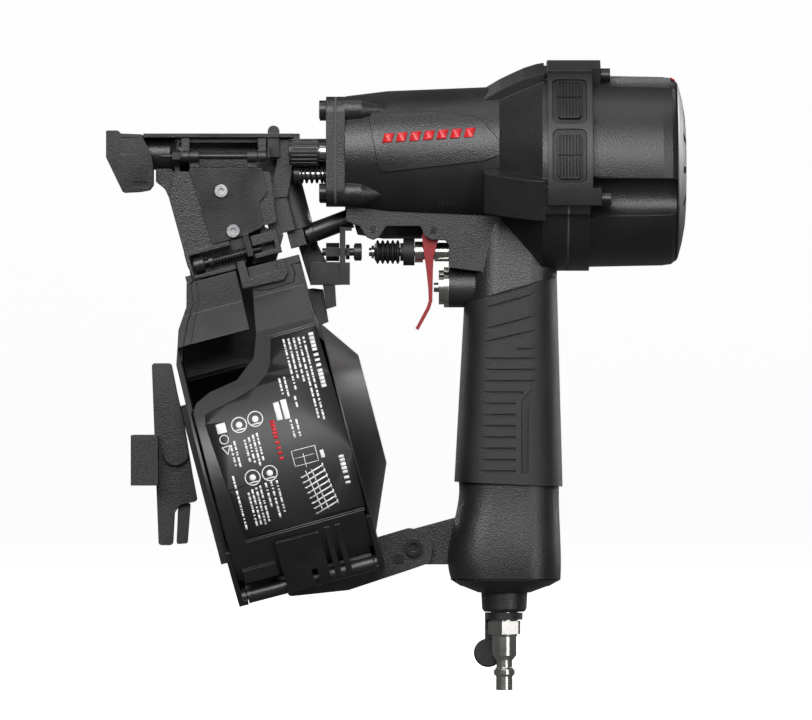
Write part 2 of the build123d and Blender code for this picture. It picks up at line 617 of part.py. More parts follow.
# ---------------------------------------------------------------- nose and feeder
NOSE_BODY = (
    (-157.0, 102.0), (-157.0, 118.2), (-102.0, 118.2), (-102.6, 101.0), (-104.6, 91.0), (-112.2, 90.0),
    (-115.6, 77.0), (-106.4, 74.0), (-109.9, 61.5), (-145.5, 54.0), (-156.4, 90.0))
CHANNEL = (-5.6, 5.6)                   # Y extent of the nail channel
NOSE_TUBE_R, NOSE_TIP_X = 7.4, -179.0
NOSE_GUSSET = ((-166.0, 104.0), (-157.0, 104.0), (-156.2, 90.5), (-159.6, 90.0), (-161.8, 94.6), (-166.0, 98.0))
GUSSET_HALF = 3.2
NOSE_FACE_Y = -7.2                      # face that the door shuts against
CHANNEL_OUTLINE = (
    (-155.0, 106.0), (-155.0, 116.2), (-109.6, 116.2), (-109.6, 106.0), (-123.4, 50.0), (-146.0, 50.0))
DOOR_OUTLINE = (
    (-157.4, 102.6), (-159.6, 90.0), (-150.8, 58.2), (-147.6, 52.4), (-126.4, 57.4), (-123.6, 60.4),
    (-123.6, 75.6), (-109.4, 79.0), (-112.4, 102.6))
PLATE_OUTLINE = (
    (-150.6, 104.2), (-116.4, 104.2), (-113.9, 93.0), (-117.6, 88.4), (-115.8, 76.8), (-125.1, 72.6),
    (-139.4, 68.8), (-148.8, 99.5))
PLATE_SCREWS = ((-135.3, 93.5), (-129.7, 74.9))
KNUCKLE_R = 2.6
FIXED_KNUCKLES = ((-153.9, -150.2), (-118.3, -114.4))
DOOR_KNUCKLES = ((-149.9, -145.5), (-123.2, -118.6))


def nose_guide():
    """Casting with the drive bore, the nail channel and the flange that bolts to the body."""
    nose = square_flange(NOSE_FLANGE) + side_plate(NOSE_BODY, (NOSE_FACE_Y, 11.5), 1.2)
    nose += rod_x((-104.0, NOSE_FLANGE[0]), 7.2)
    nose += rod_x((NOSE_TIP_X, -156.0), NOSE_TUBE_R)
    nose += cone_x((-159.4, -156.0), NOSE_TUBE_R, 9.8) - block((-164, -155), (-20, 20), (118.2, 130))
    nose += side_plate(NOSE_GUSSET, (-GUSSET_HALF, GUSSET_HALF))
    for x in FIXED_KNUCKLES:
        nose += rod_x(x, KNUCKLE_R, DOOR_HINGE_Y, DOOR_HINGE_Z)
        nose += block(x, (DOOR_HINGE_Y, -8.0), (DOOR_HINGE_Z - 0.4, DOOR_HINGE_Z + KNUCKLE_R))
        nose += block(x, (-11.0, -7.7), (DOOR_HINGE_Z - 0.4, 118.2)) + block(x, (-11.0, 0.0), (116.4, 118.2))
    nose += TILTED * (block((22.0, 34.0), (-6.0, 11.5), (104.0, 128.0)) + catch_block())
    nose -= side_plate(CHANNEL_OUTLINE, (NOSE_FACE_Y - 0.5, CHANNEL[1]))
    nose += rod_x((-157.0, -150.5), 7.6) - rod_x((-158.0, -150.0), NOSE_BORE_R)
    nose -= rod_x((-190.0, -150.0), NOSE_BORE_R) + rod_x((-112.0, NOSE_FLANGE[1] + 1), BLADE_R + 1.0)
    hinge_span = (FIXED_KNUCKLES[0][0] - 1, FIXED_KNUCKLES[1][1] + 1)
    nose -= rod_x(hinge_span, 1.6, DOOR_HINGE_Y, DOOR_HINGE_Z)
    nose -= TILTED * (pawl_slot() + feed_pocket())
    for y, z in nose_bolt_places():
        nose -= rod_x((NOSE_FLANGE[0] - 1, NOSE_FLANGE[1] + 1), 2.7, y, z)
    return nose - rod_x((NOSE_FLANGE[0] - 1, NOSE_FLANGE[1] + 1), 3.1, *ADJUSTER)


def catch_block():
    """Catch for the latch bolt, with a slot that is open towards the left side."""
    catch = block((13.0, 25.4), (-24.0, 2.0), (95.4, 106.0))
    return catch - block((12.0, 23.2), (-25.0, LATCH_Y + 1.9), (LATCH_B - 1.9, LATCH_B + 1.9))


def gaskets():
    return Compound(children=[nose_gasket(), cap_gasket()])


def nose_gasket():
    sheet = square_flange(GASKET_X) - rod_x((GASKET_X[0] - 1, GASKET_X[1] + 1), LINER_R - 0.6)
    for y, z in nose_bolt_places():
        sheet -= rod_x((GASKET_X[0] - 1, GASKET_X[1] + 1), 2.7, y, z)
    return sheet


def body_bolts():
    """Nose flange bolts, with the bolt and rivet of the magazine arm."""
    bolts = magazine_fasteners()
    for y, z in nose_bolt_places():
        bolts.append(Pos(NOSE_FLANGE[0], y, z) * Rot(0, -90, 0) * socket_screw(4.3, 3.2, 2.5, 18.0, 4.0))
    return Compound(children=bolts)


# ---------------------------------------------------------------- contact foot and arm
FOOT_OUTLINE = (
    (-189.0, 121.8), (-183.4, 121.8), (-182.4, 120.4), (-172.0, 120.0), (-171.8, 118.2), (-168.4, 112.0),
    (-167.2, 106.0),
    (-167.2, 96.6), (-169.0, 94.2), (-173.5, 93.4), (-181.2, 93.0), (-189.0, 109.2))
RAIL_X = (-171.6, -98.8)
ARM_Y = (17.0, 20.6)
ARM_OUTLINE = (
    (-176.0, 119.8), (-172.0, 120.4), (-102.0, 120.4), (-98.3, 116.0), (-98.3, 84.0), (-86.0, 60.0),
    (-86.0, 50.0), (-94.0, 50.0), (-104.5, 84.0), (-105.0, 106.0), (-176.0, 106.0))


EYE_Y = (-10.4, -7.8)                   # upright eye that passes beside the depth adjuster


def contact_foot():
    """Foot round the nose tube that is pressed on the work."""
    foot = side_plate(FOOT_OUTLINE, (-13.0, 13.0), 0.8)
    foot -= rod_x((-186.4, -165.0), NOSE_TUBE_R + GAP)
    foot -= rod_x((-190.0, -165.0), 6.2)
    foot -= block((-176.0, -165.0), (-GUSSET_HALF - GAP, GUSSET_HALF + GAP), (90.0, 105.0))
    for side in (-1, 1):
        foot -= Pos(-173.0, side * 13.0, 96.6) * Box(7.0, 2.4, 2.6)
        foot -= Pos(-178.4, side * 13.4, 114.6) * Box(8.4, 2.0, 8.0)
    return foot


def contact_arm():
    """Top strip and far-side bar that join the foot to the trip block."""
    strip = block((RAIL_X[0], -102.3), (-12.0, ARM_Y[1]), (118.6, 120.4))
    seat_y, seat_z = CONTACT_SPRING
    seat = block((-101.6, RAIL_X[1]), (-10.3, -7.9), (seat_z, 118.8))
    seat += rod_x((-101.6, RAIL_X[1]), 4.4, seat_y, seat_z)
    seat += block((-103.0, RAIL_X[1]), (-10.3, -7.9), (118.6, 120.4))
    bar = side_plate(ARM_OUTLINE, ARM_Y)
    joggle = block((-176.0, -170.4), (13.0, ARM_Y[1]), (106.0, 119.8))
    step = block((-94.0, -80.2), (-7.0, ARM_Y[1]), (50.0, 60.6))
    tail = side_plate([(-88.2, 50.6), (-82.4, 50.6), (-81.8, 40.0), (-86.4, 38.6)], (-6.0, 3.0))
    eye = side_plate([(-113.7, 118.0), (-108.4, 118.0), (-108.2, 109.4), (-113.7, 109.4)], EYE_Y)
    crown = rod_y(EYE_Y, 2.75, -111.0, 121.4) + block((-113.7, -108.4), EYE_Y, (117.0, 121.4))
    tongue = block((-113.7, -112.7), (-19.6, EYE_Y[1]), (109.0, 114.6))
    arm = strip + bar + joggle + step + tail + eye + crown + tongue + seat
    return arm - rod_x((-102.0, -98.0), 2.9, seat_y, seat_z)


def trip_bracket():
    """Plate with a bent top that carries the trip screw on the arm."""
    plate = block((-80.2, -77.6), (-7.2, 7.2), (50.0, 70.4)) + block((-80.2, -77.6), (-7.2, 1.9), (70.4, 76.6))
    plate += block((-78.0, -75.5), (-7.2, 7.2), (50.0, 60.4))
    lip = block((-80.2, -74.6), (-7.2, 1.9), (75.2, 76.8))
    return plate + lip - rod_x((-81.0, -77.0), 1.9, 0, ROD_Z)


def trip_screw():
    head = rod_x((-73.3, -70.1), 4.1, 0, ROD_Z) + rod_x((-73.7, -69.9), 3.4, 0, ROD_Z)
    nuts = hex_x((-77.4, -75.6), 6.0, 0, ROD_Z) + hex_x((-86.6, -80.4), 7.4, 0, ROD_Z)
    return head + nuts + rod_x((-88.4, -73.7), 1.8, 0, ROD_Z)


ADJUSTER = (-17.5, 111.6)


def adjuster_stud():
    return tube_x((-98.0, -82.8), 3.0, 1.8, *ADJUSTER) + tube_x((-89.6, NOSE_FLANGE[0]), 4.2, 1.8, *ADJUSTER)


def depth_adjuster():
    y, z = ADJUSTER
    nut = rod_x((-103.5, -89.9), 6.2, y, z)
    flute = rod_x((-102.6, -90.6), 0.55, 0, 6.3)
    for angle in range(0, 360, 20):
        nut -= Pos(0, y, z) * Rot(angle, 0, 0) * flute
    return nut - rod_x((-104.0, -98.0), 2.0, y, z) - rod_x((-98.2, -89.0), 3.0 + FIT, y, z)


def stop_pin():
    return rod_x((-103.9, -84.0), 1.7, *ADJUSTER)


CONTACT_SPRING = (-11.2, 101.4)


def contact_spring():
    return tube_x((-98.6, -86.8), 4.5, 3.2, *CONTACT_SPRING)


def spring_guide():
    return rod_x((-99.6, NOSE_FLANGE[0]), 2.6, *CONTACT_SPRING)


def nose_studs():
    """Stud of the depth adjuster and guide rod of the return spring."""
    return Compound(children=[adjuster_stud(), spring_guide()])


# ---------------------------------------------------------------- air tube and feed cylinder
TUBE_R = 4.6
TUBE_Y = 7.0
TUBE_ENDS = ((-75.0, 81.2), (-96.1, 73.2))


def air_tube_path(radius):
    (x0, z0), (x1, z1) = TUBE_ENDS
    length = hypot(x1 - x0, z1 - z0)
    slope = degrees(atan2(z0 - z1, x0 - x1))
    return Pos((x0 + x1) / 2, TUBE_Y, (z0 + z1) / 2) * Rot(0, 90 - slope, 0) * Cylinder(radius, length)


def feed_air_tube():
    (x0, z0), (x1, z1) = TUBE_ENDS
    slope = degrees(atan2(z0 - z1, x0 - x1))
    collar = Pos(x1 + 2.0, TUBE_Y, z1 + 0.7) * Rot(0, 90 - slope, 0) * Cylinder(TUBE_R + 1.2, 3.6)
    elbow = block(*ELBOW) + Pos(FEED_A, FEED_Y, 115.0) * Cylinder(FEED_R + FIT, 22.0)
    return air_tube_path(TUBE_R) + collar - air_tube_path(2.6) - TILTED * elbow


ELBOW = ((29.8, 37.4), (-1.0, 12.4), (96.0, 104.4))     # elbow of the feed cylinder, magazine frame


def feed_pocket():
    """Clearance in the nose casting for the feed cylinder and its elbow."""
    bore = Pos(FEED_A, FEED_Y, 115.0) * Cylinder(FEED_R + 0.02, 28.0)
    return bore + block((28.0, 45.0), (-2.0, 13.0), (95.0, 104.5))


def feed_cylinder():
    """Cylinder with an elbow for the air tube and a slot for the pawl arm."""
    body = Pos(FEED_A, FEED_Y, 114.5) * Cylinder(FEED_R, 21.0)
    elbow = block(*ELBOW)
    bore = Pos(FEED_A, FEED_Y, 115.0) * Cylinder(FEED_BORE, 20.4)
    slot = block((33.0, 38.0), (FEED_Y, 16.0), (105.6, 123.4))
    return TILTED * (body + elbow - bore - slot)


def feed_cylinder_cap():
    notch = block((FEED_R - 0.5, FEED_R + 1), (-0.5, 0.5), (-2, 2))
    flats = [Rot(0, 0, angle) * notch for angle in range(0, 360, 15)]
    return TILTED * (Pos(FEED_A, FEED_Y, 127.0) * (Cylinder(FEED_R, 3.6) - flats))


PAWL_PIVOT = (12.8, 115.4)              # Y and height in the magazine frame
PAWL_PIN_R = 0.8


def pawl_pin(a, radius):
    y, b = PAWL_PIVOT
    return Pos((a[0] + a[1]) / 2, y, b) * Rot(0, 90, 0) * Cylinder(radius, a[1] - a[0])


def feed_piston():
    """Piston with the arm and pin that carry the pawl behind the channel."""
    head = Pos(FEED_A, FEED_Y, 119.5) * Cylinder(FEED_BORE - FIT, 5.0)
    arm = block((33.3, 37.7), (FEED_Y, 15.6), (117.4, 121.6)) + block((1.6, 37.7), (13.0, 15.6), (117.4, 121.6))
    fork = block((8.6, 11.6), (11.9, 15.6), (114.0, 121.6))
    return TILTED * (head + arm + fork + pawl_pin((1.8, 9.0), PAWL_PIN_R))


def feed_spring():
    return TILTED * (Pos(FEED_A, FEED_Y, 110.8) * (Cylinder(5.1, 11.8) - Cylinder(3.9, 14.0)))


def pawl_slot():
    """Slot behind the channel that the pawl works in."""
    return block((1.0, 8.5), (4.0, 13.0), (98.4, 127.0))


def feed_pawl():
    """Sprung pawl that hooks behind a nail and hinges on the pin of the piston's arm."""
    outline = [(12.2, 116.6), (13.9, 115.8), (13.7, 112.8), (5.8, 109.6), (5.8, 111.6)]
    pawl = cross_plate(outline, (2.2, 8.2)) + pawl_pin((2.2, 8.2), 1.6)
    return TILTED * (pawl - pawl_pin((1.0, 9.0), PAWL_PIN_R + FIT))


# ---------------------------------------------------------------- door and latch
def door():
    """Casting that closes the nail channel, with the pocket of the latch."""
    leaf = side_plate(DOOR_OUTLINE, (-13.6, NOSE_FACE_Y - GAP), 1.5)
    for x in DOOR_KNUCKLES:
        leaf += rod_x(x, KNUCKLE_R, DOOR_HINGE_Y, DOOR_HINGE_Z)
        leaf += block(x, (-13.6, -10.0), (101.0, 110.0)) + block(x, (-15.2, -12.0), (104.4, 110.0))
    pocket = block((-19.2, 3.0), (-23.6, -13.0), (92.8, 106.4))
    pocket -= block((-16.8, 4.0), (-24.6, -14.6), (94.8, 104.4))
    leaf += TILTED * pocket & side_plate(DOOR_OUTLINE, (-30.0, -5.0), 1.5)
    leaf -= TILTED * (Pos(-8, LATCH_Y, LATCH_B) * Rot(0, 90, 0) * Cylinder(1.7, 40))
    for x, z in PLATE_SCREWS:
        leaf -= rod_y((-20, -5), 1.6, x, z)
    return leaf - rod_x((-160.0, -110.0), 1.6, DOOR_HINGE_Y, DOOR_HINGE_Z)


def door_plate():
    plate = side_plate(PLATE_OUTLINE, (-15.6, -13.6), 1.0)
    tab = TILTED * (block((9.8, 12.4), (-25.8, -13.6), (97.0, 107.6)) - block((9, 13), (-16.8, -13), (96, 105)))
    tab -= TILTED * (Pos(11, LATCH_Y, LATCH_B) * Rot(0, 90, 0) * Cylinder(1.7, 8))
    for x, z in PLATE_SCREWS:
        plate -= rod_y((-20, -5), 1.6, x, z)
    return plate + tab


def door_screws():
    screws = []
    for x, z in PLATE_SCREWS:
        screws.append(Pos(x, -15.6, z) * Rot(90, 0, 0) * socket_screw(3.0, 1.8, 1.5, 6.0, 2.4))
    return Compound(children=screws)


def door_hinge_pin():
    pin = rod_x((-158.2, -114.0), 1.5, DOOR_HINGE_Y, DOOR_HINGE_Z)
    pin += rod_x((-163.2, -158.0), 0.9, DOOR_HINGE_Y, DOOR_HINGE_Z)
    return pin + hex_x((-157.9, -154.2), 5.4, DOOR_HINGE_Y, DOOR_HINGE_Z)


def latch_bolt():
    def along(a, radius):
        return Pos((a[0] + a[1]) / 2, LATCH_Y, LATCH_B) * Rot(0, 90, 0) * Cylinder(radius, a[1] - a[0])
    return TILTED * (along((-16.0, 16.6), 1.5) + along((-15.6, -11.0), 4.0) + along((-8.6, -6.6), 2.8))


def latch_spring():
    coil = Cylinder(2.4, 16.0) - Cylinder(1.7, 18.0)
    return TILTED * (Pos(1.6, LATCH_Y, LATCH_B) * Rot(0, 90, 0) * coil)


HOOK_OUTER = (
    (-127.6, 58.0), (-125.0, 47.9), (-106.0, 52.2), (-104.2, 55.4), (-106.0, 62.2), (-109.6, 61.4),
    (-108.8, 56.9), (-122.0, 53.0), (-123.6, 58.8))


def latch_hook():
    """Flat hook on the door that holds the magazine cover's neck shut."""
    hook = side_plate(HOOK_OUTER, (-27.0, -24.4), 0.5)
    shank = side_plate([(-127.4, 57.9), (-123.8, 58.7), (-124.4, 61.0), (-127.9, 60.2)], (-27.0, -13.6))
    return hook + shank


# ---------------------------------------------------------------- magazine
NECK_TOP_B = 92.2
NECK_FRONT_Y, NECK_REAR_Y = -23.5, 15.0
MAGAZINE_OUTLINE = (
    (-21.2, NECK_TOP_B), (-24.0, 81.8), (-30.2, 72.4), (-35.1, 56.8), (-35.1, -66.0), (34.6, -66.0),
    (34.6, 57.0), (32.6, 64.0), (32.6, NECK_TOP_B))
COVER_OUTLINE = (
    (-33.4, -66.0), (-33.4, 33.0), (-30.1, 37.3), (-23.0, 40.7), (-9.4, 42.9), (0.4, 50.9), (4.2, 61.0),
    (6.2, 73.0), (7.8, 81.0), (15.0, 79.6), (27.4, 80.2), (29.0, 84.0), (28.4, 88.2), (33.6, 88.2), (33.6, -66.0))
WINDOW_OUTLINE = ((-32.6, -66.0), (-32.6, 64.4), (1.8, 64.4), (2.6, 95.0), (8.0, 95.0), (8.0, -66.0))
NECK_GROOVE = (
    (-19.0, 95.0), (-16.2, 95.0), (-17.4, 82.6), (-21.8, 74.6), (-26.0, 64.5), (-30.0, 64.5), (-25.2, 75.0),
    (-20.4, 83.2))


def profile_face(inset, a):
    """Section of the magazine across its axis: round drum with a neck that leans in towards the top."""
    r = DRUM_R - inset
    angle = radians(48.0)
    y0, b0 = DRUM_Y - r * sin(angle), r * cos(angle)
    front, rear = NECK_FRONT_Y + inset, NECK_REAR_Y - inset
    edges = Polyline((a, y0, b0), (a, -33.0 + inset, 62.0), (a, front, 78.0), (a, front, NECK_TOP_B),
                     (a, rear, NECK_TOP_B), (a, rear, 50.0), (a, DRUM_Y, 0.0), close=True)
    disc = Plane((a, DRUM_Y, 0), z_dir=(1, 0, 0)) * Circle(r)
    return disc, make_face(edges)


def magazine_body(inset):
    low, high = DRUM_A[0] + inset, DRUM_A[1] - inset
    disc, neck = profile_face(inset, low)
    body = extrude(disc, amount=high - low, dir=(1, 0, 0)) + extrude(neck, amount=high - low, dir=(1, 0, 0))
    outline = offset_outline(inset)
    return body & side_plate(outline, (-90.0, 60.0))


def offset_outline(inset):
    """Side outline of the magazine moved in by the wall thickness, but open at the neck's top."""
    moved = []
    for a, b in MAGAZINE_OUTLINE:
        side = inset if a < 0 else -inset
        moved.append((a + side, b + (1.0 if b == NECK_TOP_B and inset else 0.0)))
    return moved


def parting_prism(shift):
    """Space on the left of the parting plane between canister and cover."""
    corners = [(-110.0, -70.0), (-35.4 + shift, -70.0), (-16.0 + shift, 95.0), (-110.0, 95.0)]
    return cross_plate(corners, (-60.0, 60.0))


DOME_BASE = (8.0, 51.2)                 # height and radius of the bulge behind the drum
DOME_CROWN_A, DOME_CROWN = 47.6, (14.0, 26.0)


def rear_dome(inset):
    """Bulge on the rear end of the drum."""
    height, radius = DOME_BASE
    base = Plane((DRUM_A[1] - 0.5 - 2 * inset, DRUM_Y, height), z_dir=(1, 0, 0)) * Circle(radius - inset)
    height, radius = DOME_CROWN
    crown = Plane((DOME_CROWN_A - inset, DRUM_Y, height), z_dir=(1, 0, 0)) * Circle(radius - inset)
    return loft([base, crown])


def cover_space(grow):
    """Region of the side view taken by the cover, opened by a clearance."""
    wire = Polyline(*[(a, -110.0, b) for a, b in COVER_OUTLINE], close=True)
    face = make_face(wire)
    if grow:
        face = offset(face, grow)
    return extrude(face, amount=170.0, dir=(0, 1, 0))


def along_hinge(a, radius):
    """Cylinder on the cover's hinge line."""
    y, b = COVER_HINGE
    return Pos((a[0] + a[1]) / 2, y, b) * Rot(0, 90, 0) * Cylinder(radius, a[1] - a[0])


def drum_core(radius):
    return Pos(0, DRUM_Y, 0) * Rot(0, 90, 0) * Cylinder(radius, 80.0)


KNUCKLE_A = (-30.2, 30.2)
KNUCKLE_OUTER = 3.6


def hinge_root():
    """Web that ties the cover's hinge knuckle to its shell."""
    y, b = COVER_HINGE
    reach = 5.5 / hypot(y - DRUM_Y, b)
    along_y, along_b = (DRUM_Y - y) * reach, -b * reach
    points = [(y + along_b / 2, b - along_y / 2), (y + along_y + along_b / 2, b + along_b - along_y / 2),
              (y + along_y - along_b / 2, b + along_b + along_y / 2), (y - along_b / 2, b + along_y / 2)]
    return cross_plate(points, KNUCKLE_A)


TANGENT = ((-60.6, -33.3), (-43.6, -57.3))          # line that touches the drum and the hinge knuckle


def tangent_fin(a, span=(0.0, 1.0)):
    """Fin between the drum and a share of the line that touches both drum and hinge knuckle."""
    (y0, b0), (y1, b1) = TANGENT
    ends = [(y0 + (y1 - y0) * share, b0 + (b1 - b0) * share) for share in span]
    inner = [(y + 8.0, b + 6.0) for y, b in reversed(ends)]
    return cross_plate(ends + inner, a)


def canister_lug(a_outer, a_inner):
    """Hinge lug at one end of the drum, with a flat rib up the drum's rim."""
    y, b = COVER_HINGE
    a = (min(a_outer, a_inner), max(a_outer, a_inner))
    foot = [(y - 3.4, b - 2.0), (y + 6.0, b + 8.0), (y + 16.0, b + 8.0), (y + 16.0, b), (y, b - 4.0)]
    lug = along_hinge(a, KNUCKLE_OUTER) + cross_plate(foot, a)
    lug -= drum_core(DRUM_R - WALL) + (drum_core(DRUM_R + GAP) & parting_prism(0.5))
    rim = a_outer + (WALL - 0.2 if a_outer < 0 else 0.2 - WALL)
    fin = tangent_fin((min(a_outer, rim), max(a_outer, rim)))
    return lug + (fin - drum_core(DRUM_R - WALL))


def magazine_canister():
    shell = magazine_body(0) + rear_dome(0) + rail_block() + neck_flanges()
    shell -= magazine_body(WALL) + rear_dome(WALL)
    near = parting_prism(0.5)
    shell -= near & cover_space(GAP)
    shell -= near & side_plate(WINDOW_OUTLINE, (-110.0, 60.0))
    shell -= (magazine_body(0) - magazine_body(1.2)) & near & side_plate(NECK_GROOVE, (-110.0, 60.0))
    shell += canister_lug(DRUM_A[0], -30.6) + canister_lug(DRUM_A[1], 30.6)
    return TILTED * (shell - along_hinge((-45.0, 45.0), 1.8))


def neck_flanges():
    """Lips at the top of the neck: left edge, far wall and the flange towards the trip block."""
    left = block((-21.0, -18.2), (NECK_FRONT_Y, -14.4), (88.0, 95.6))
    far = block((-19.0, 20.0), (NECK_REAR_Y - WALL, NECK_REAR_Y), (88.0, 98.0))
    rear = side_plate([(30.0, 57.5), (38.0, 58.5), (39.4, 73.8), (34.8, 75.6), (30.0, 76.0)], (5.0, 14.0))
    return left + far + rear


def magazine_cover():
    shell = (magazine_body(0) - magazine_body(WALL)) & parting_prism(0) & cover_space(0)
    shell -= block((-60, DRUM_A[0] + WALL + 0.1), (-110, 60), (-70, 95))
    shell -= block((DRUM_A[1] - WALL - 0.1, 60), (-110, 60), (-70, 95))
    for a in ((-40.0, KNUCKLE_A[0]), (KNUCKLE_A[1], 40.0)):
        shell -= along_hinge(a, 9.5)
    shell += along_hinge(KNUCKLE_A, KNUCKLE_OUTER) + hinge_root() - drum_core(DRUM_R - 0.4)
    fins = tangent_fin((12.0, 14.6)) + tangent_fin((17.2, 19.8)) + tangent_fin((-29.4, -13.4), (0.42, 0.66))
    shell += fins - drum_core(DRUM_R - 0.4)
    return TILTED * (shell - along_hinge((-45.0, 45.0), 1.7 + FIT))


def cover_hinge_pin():
    return TILTED * along_hinge((DRUM_A[0] + 0.5, DRUM_A[1] - 0.5), 1.7)


CLIP_THICKNESS = 1.6


def hinge_clip():
    """Notched plate over the middle of the hinge, screwed to the cover."""
    (y0, b0), (y1, b1) = TANGENT
    length = hypot(y1 - y0, b1 - b0)
    along_y, along_b = (y1 - y0) / length, (b1 - b0) / length
    inner = [(y0 + along_b * 0.35, b0 - along_y * 0.35), (y1 + along_b * 0.35, b1 - along_y * 0.35)]
    outer = [(y + along_b * CLIP_THICKNESS, b - along_y * CLIP_THICKNESS) for y, b in reversed(inner)]
    plate = cross_plate(inner + outer, (-11.3, 9.5))
    return TILTED * (plate - block((1.6, 4.4), (-70.0, -40.0), (-60.0, -50.6)))


def tray_post():
    return TILTED * (Pos(12.0, DRUM_Y, 0) * Rot(0, 90, 0) * Cylinder(5.0, 64.0))


def nail_tray():
    """Round tray that sets the height of the nail coil; slides on its post."""
    tray = Pos(12.0, DRUM_Y, 0) * Rot(0, 90, 0) * Cylinder(48.0, 2.0)
    tray += Pos(17.0, DRUM_Y, 0) * Rot(0, 90, 0) * Cylinder(9.0, 12.0)
    return TILTED * (tray - Pos(12.0, DRUM_Y, 0) * Rot(0, 90, 0) * Cylinder(5.0 + FIT, 80.0))


ARM_PLATE = (
    (-106.0, -88.0), (-104.0, -95.4), (-76.0, -92.4), (-46.0, -82.4), (-38.0, -79.6), (-36.6, -71.0),
    (-41.0, -64.6), (-48.0, -63.4), (-61.0, -67.2), (-84.0, -76.0))


def magazine_arm():
    """Flat arm under the drum that ties the magazine to the handle."""
    arm = side_plate(ARM_PLATE, (-8.6, -5.2), 2.0) - TILTED * (magazine_body(0) + rear_dome(0))
    return arm - rod_y((-10, -3), 2.6, *MAGAZINE_BOLT)


def magazine_fasteners():
    bolt = Rot(90, 0, 0) * socket_screw(4.2, 3.0, 2.5, 17.0, 4.0)
    bolt = Pos(MAGAZINE_BOLT[0], -8.6, MAGAZINE_BOLT[1]) * bolt
    rivet = Pos(-52.6, -9.2, -77.4) * Rot(90, 0, 0) * Cylinder(2.4, 1.2)
    return [bolt, rivet]


# ---------------------------------------------------------------- shingle gauge
GAUGE_OUTLINE = (
    (-167.2, 13.4), (-158.2, 13.4), (-155.4, -0.6), (-152.2, -14.6), (-148.4, -38.0), (-146.0, -50.6), (-154.2, -52.4),
    (-156.6, -56.0), (-157.4, -71.0), (-164.0, -71.0))
GAUGE_Y = (-34.5, -23.5)
GAUGE_LEG = ((-155.0, -52.0), (-149.2, -51.4), (-150.6, -70.2), (-155.8, -70.6))


def shingle_gauge():
    """Sliding gauge with a wide blade that lines the tool up on the shingle."""
    gauge = side_plate(GAUGE_OUTLINE, GAUGE_Y, 1.5) + side_plate(GAUGE_LEG, (-31.0, -26.0), 1.0)
    gauge += block((-176.6, -164.0), (-48.0, 4.0), (-43.2, -20.0))
    return gauge - TILTED * grown_rail()


RAIL_Y = (-32.0, -26.0)


def rail_block():
    return block((DRUM_A[0] - 3.4, DRUM_A[0] + 0.4), RAIL_Y, (-38.0, 38.0))


def grown_rail():
    rail = block((DRUM_A[0] - 3.4 - GAP, DRUM_A[0] + 0.4), (RAIL_Y[0] - GAP, RAIL_Y[1] + GAP), (-70.0, 70.0))
    return rail + block((DRUM_A[0] - GAP, 40.0), (-60.0, 20.0), (-70.0, 70.0))


def gauge_knob():
    return Pos(-156.0, GAUGE_Y[0] - 1.6, -28.0) * Rot(90, 0, 0) * Cylinder(6.0, 3.2)


PARTS = {
    "body_housing": body_housing,
    "grip_sleeve": grip_sleeve,
    "cylinder_liner": cylinder_liner,
    "piston_bumper": piston_bumper,
    "piston": piston,
    "piston_ring": piston_ring,
    "driver_blade": driver_blade,
    "head_valve": head_valve,
    "head_valve_spring": head_valve_spring,
    "seal_rings": seal_rings,
    "rear_cap": rear_cap,
    "cap_bolts": cap_bolts,
    "exhaust_cover": exhaust_cover,
    "side_guards": side_guards,
    "guard_pads": guard_pads,
    "end_cap": end_cap,
    "air_plug": air_plug,
    "dust_cap": dust_cap,
    "trigger": trigger,
    "housing_pins": housing_pins,
    "trigger_valve_body": trigger_valve_body,
    "valve_plunger": valve_plunger,
    "valve_spring": valve_spring,
    "rod_guide_tube": rod_guide_tube,
    "boot_ring": boot_ring,
    "trip_rod": trip_rod,
    "rod_bellows": rod_bellows,
    "nose_guide": nose_guide,
    "gaskets": gaskets,
    "body_bolts": body_bolts,
    "contact_foot": contact_foot,
    "contact_arm": contact_arm,
    "trip_bracket": trip_bracket,
    "trip_screw": trip_screw,
    "nose_studs": nose_studs,
    "depth_adjuster": depth_adjuster,
    "stop_pin": stop_pin,
    "contact_spring": contact_spring,
    "feed_air_tube": feed_air_tube,
    "feed_cylinder": feed_cylinder,
    "feed_cylinder_cap": feed_cylinder_cap,
    "feed_piston": feed_piston,
    "feed_spring": feed_spring,
    "feed_pawl": feed_pawl,
    "door": door,
    "door_plate": door_plate,
    "door_screws": door_screws,
    "door_hinge_pin": door_hinge_pin,
    "latch_bolt": latch_bolt,
    "latch_spring": latch_spring,
    "latch_hook": latch_hook,
    "magazine_canister": magazine_canister,
    "magazine_cover": magazine_cover,
    "cover_hinge_pin": cover_hinge_pin,
    "hinge_clip": hinge_clip,
    "nail_tray": nail_tray,
    "tray_post": tray_post,
    "magazine_arm": magazine_arm,
    "shingle_gauge": shingle_gauge,
    "gauge_knob": gauge_knob,
}

os.makedirs("parts", exist_ok=True)
for name, make in PARTS.items():
    export_step(make(), f"parts/{name}.step")
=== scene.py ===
import math

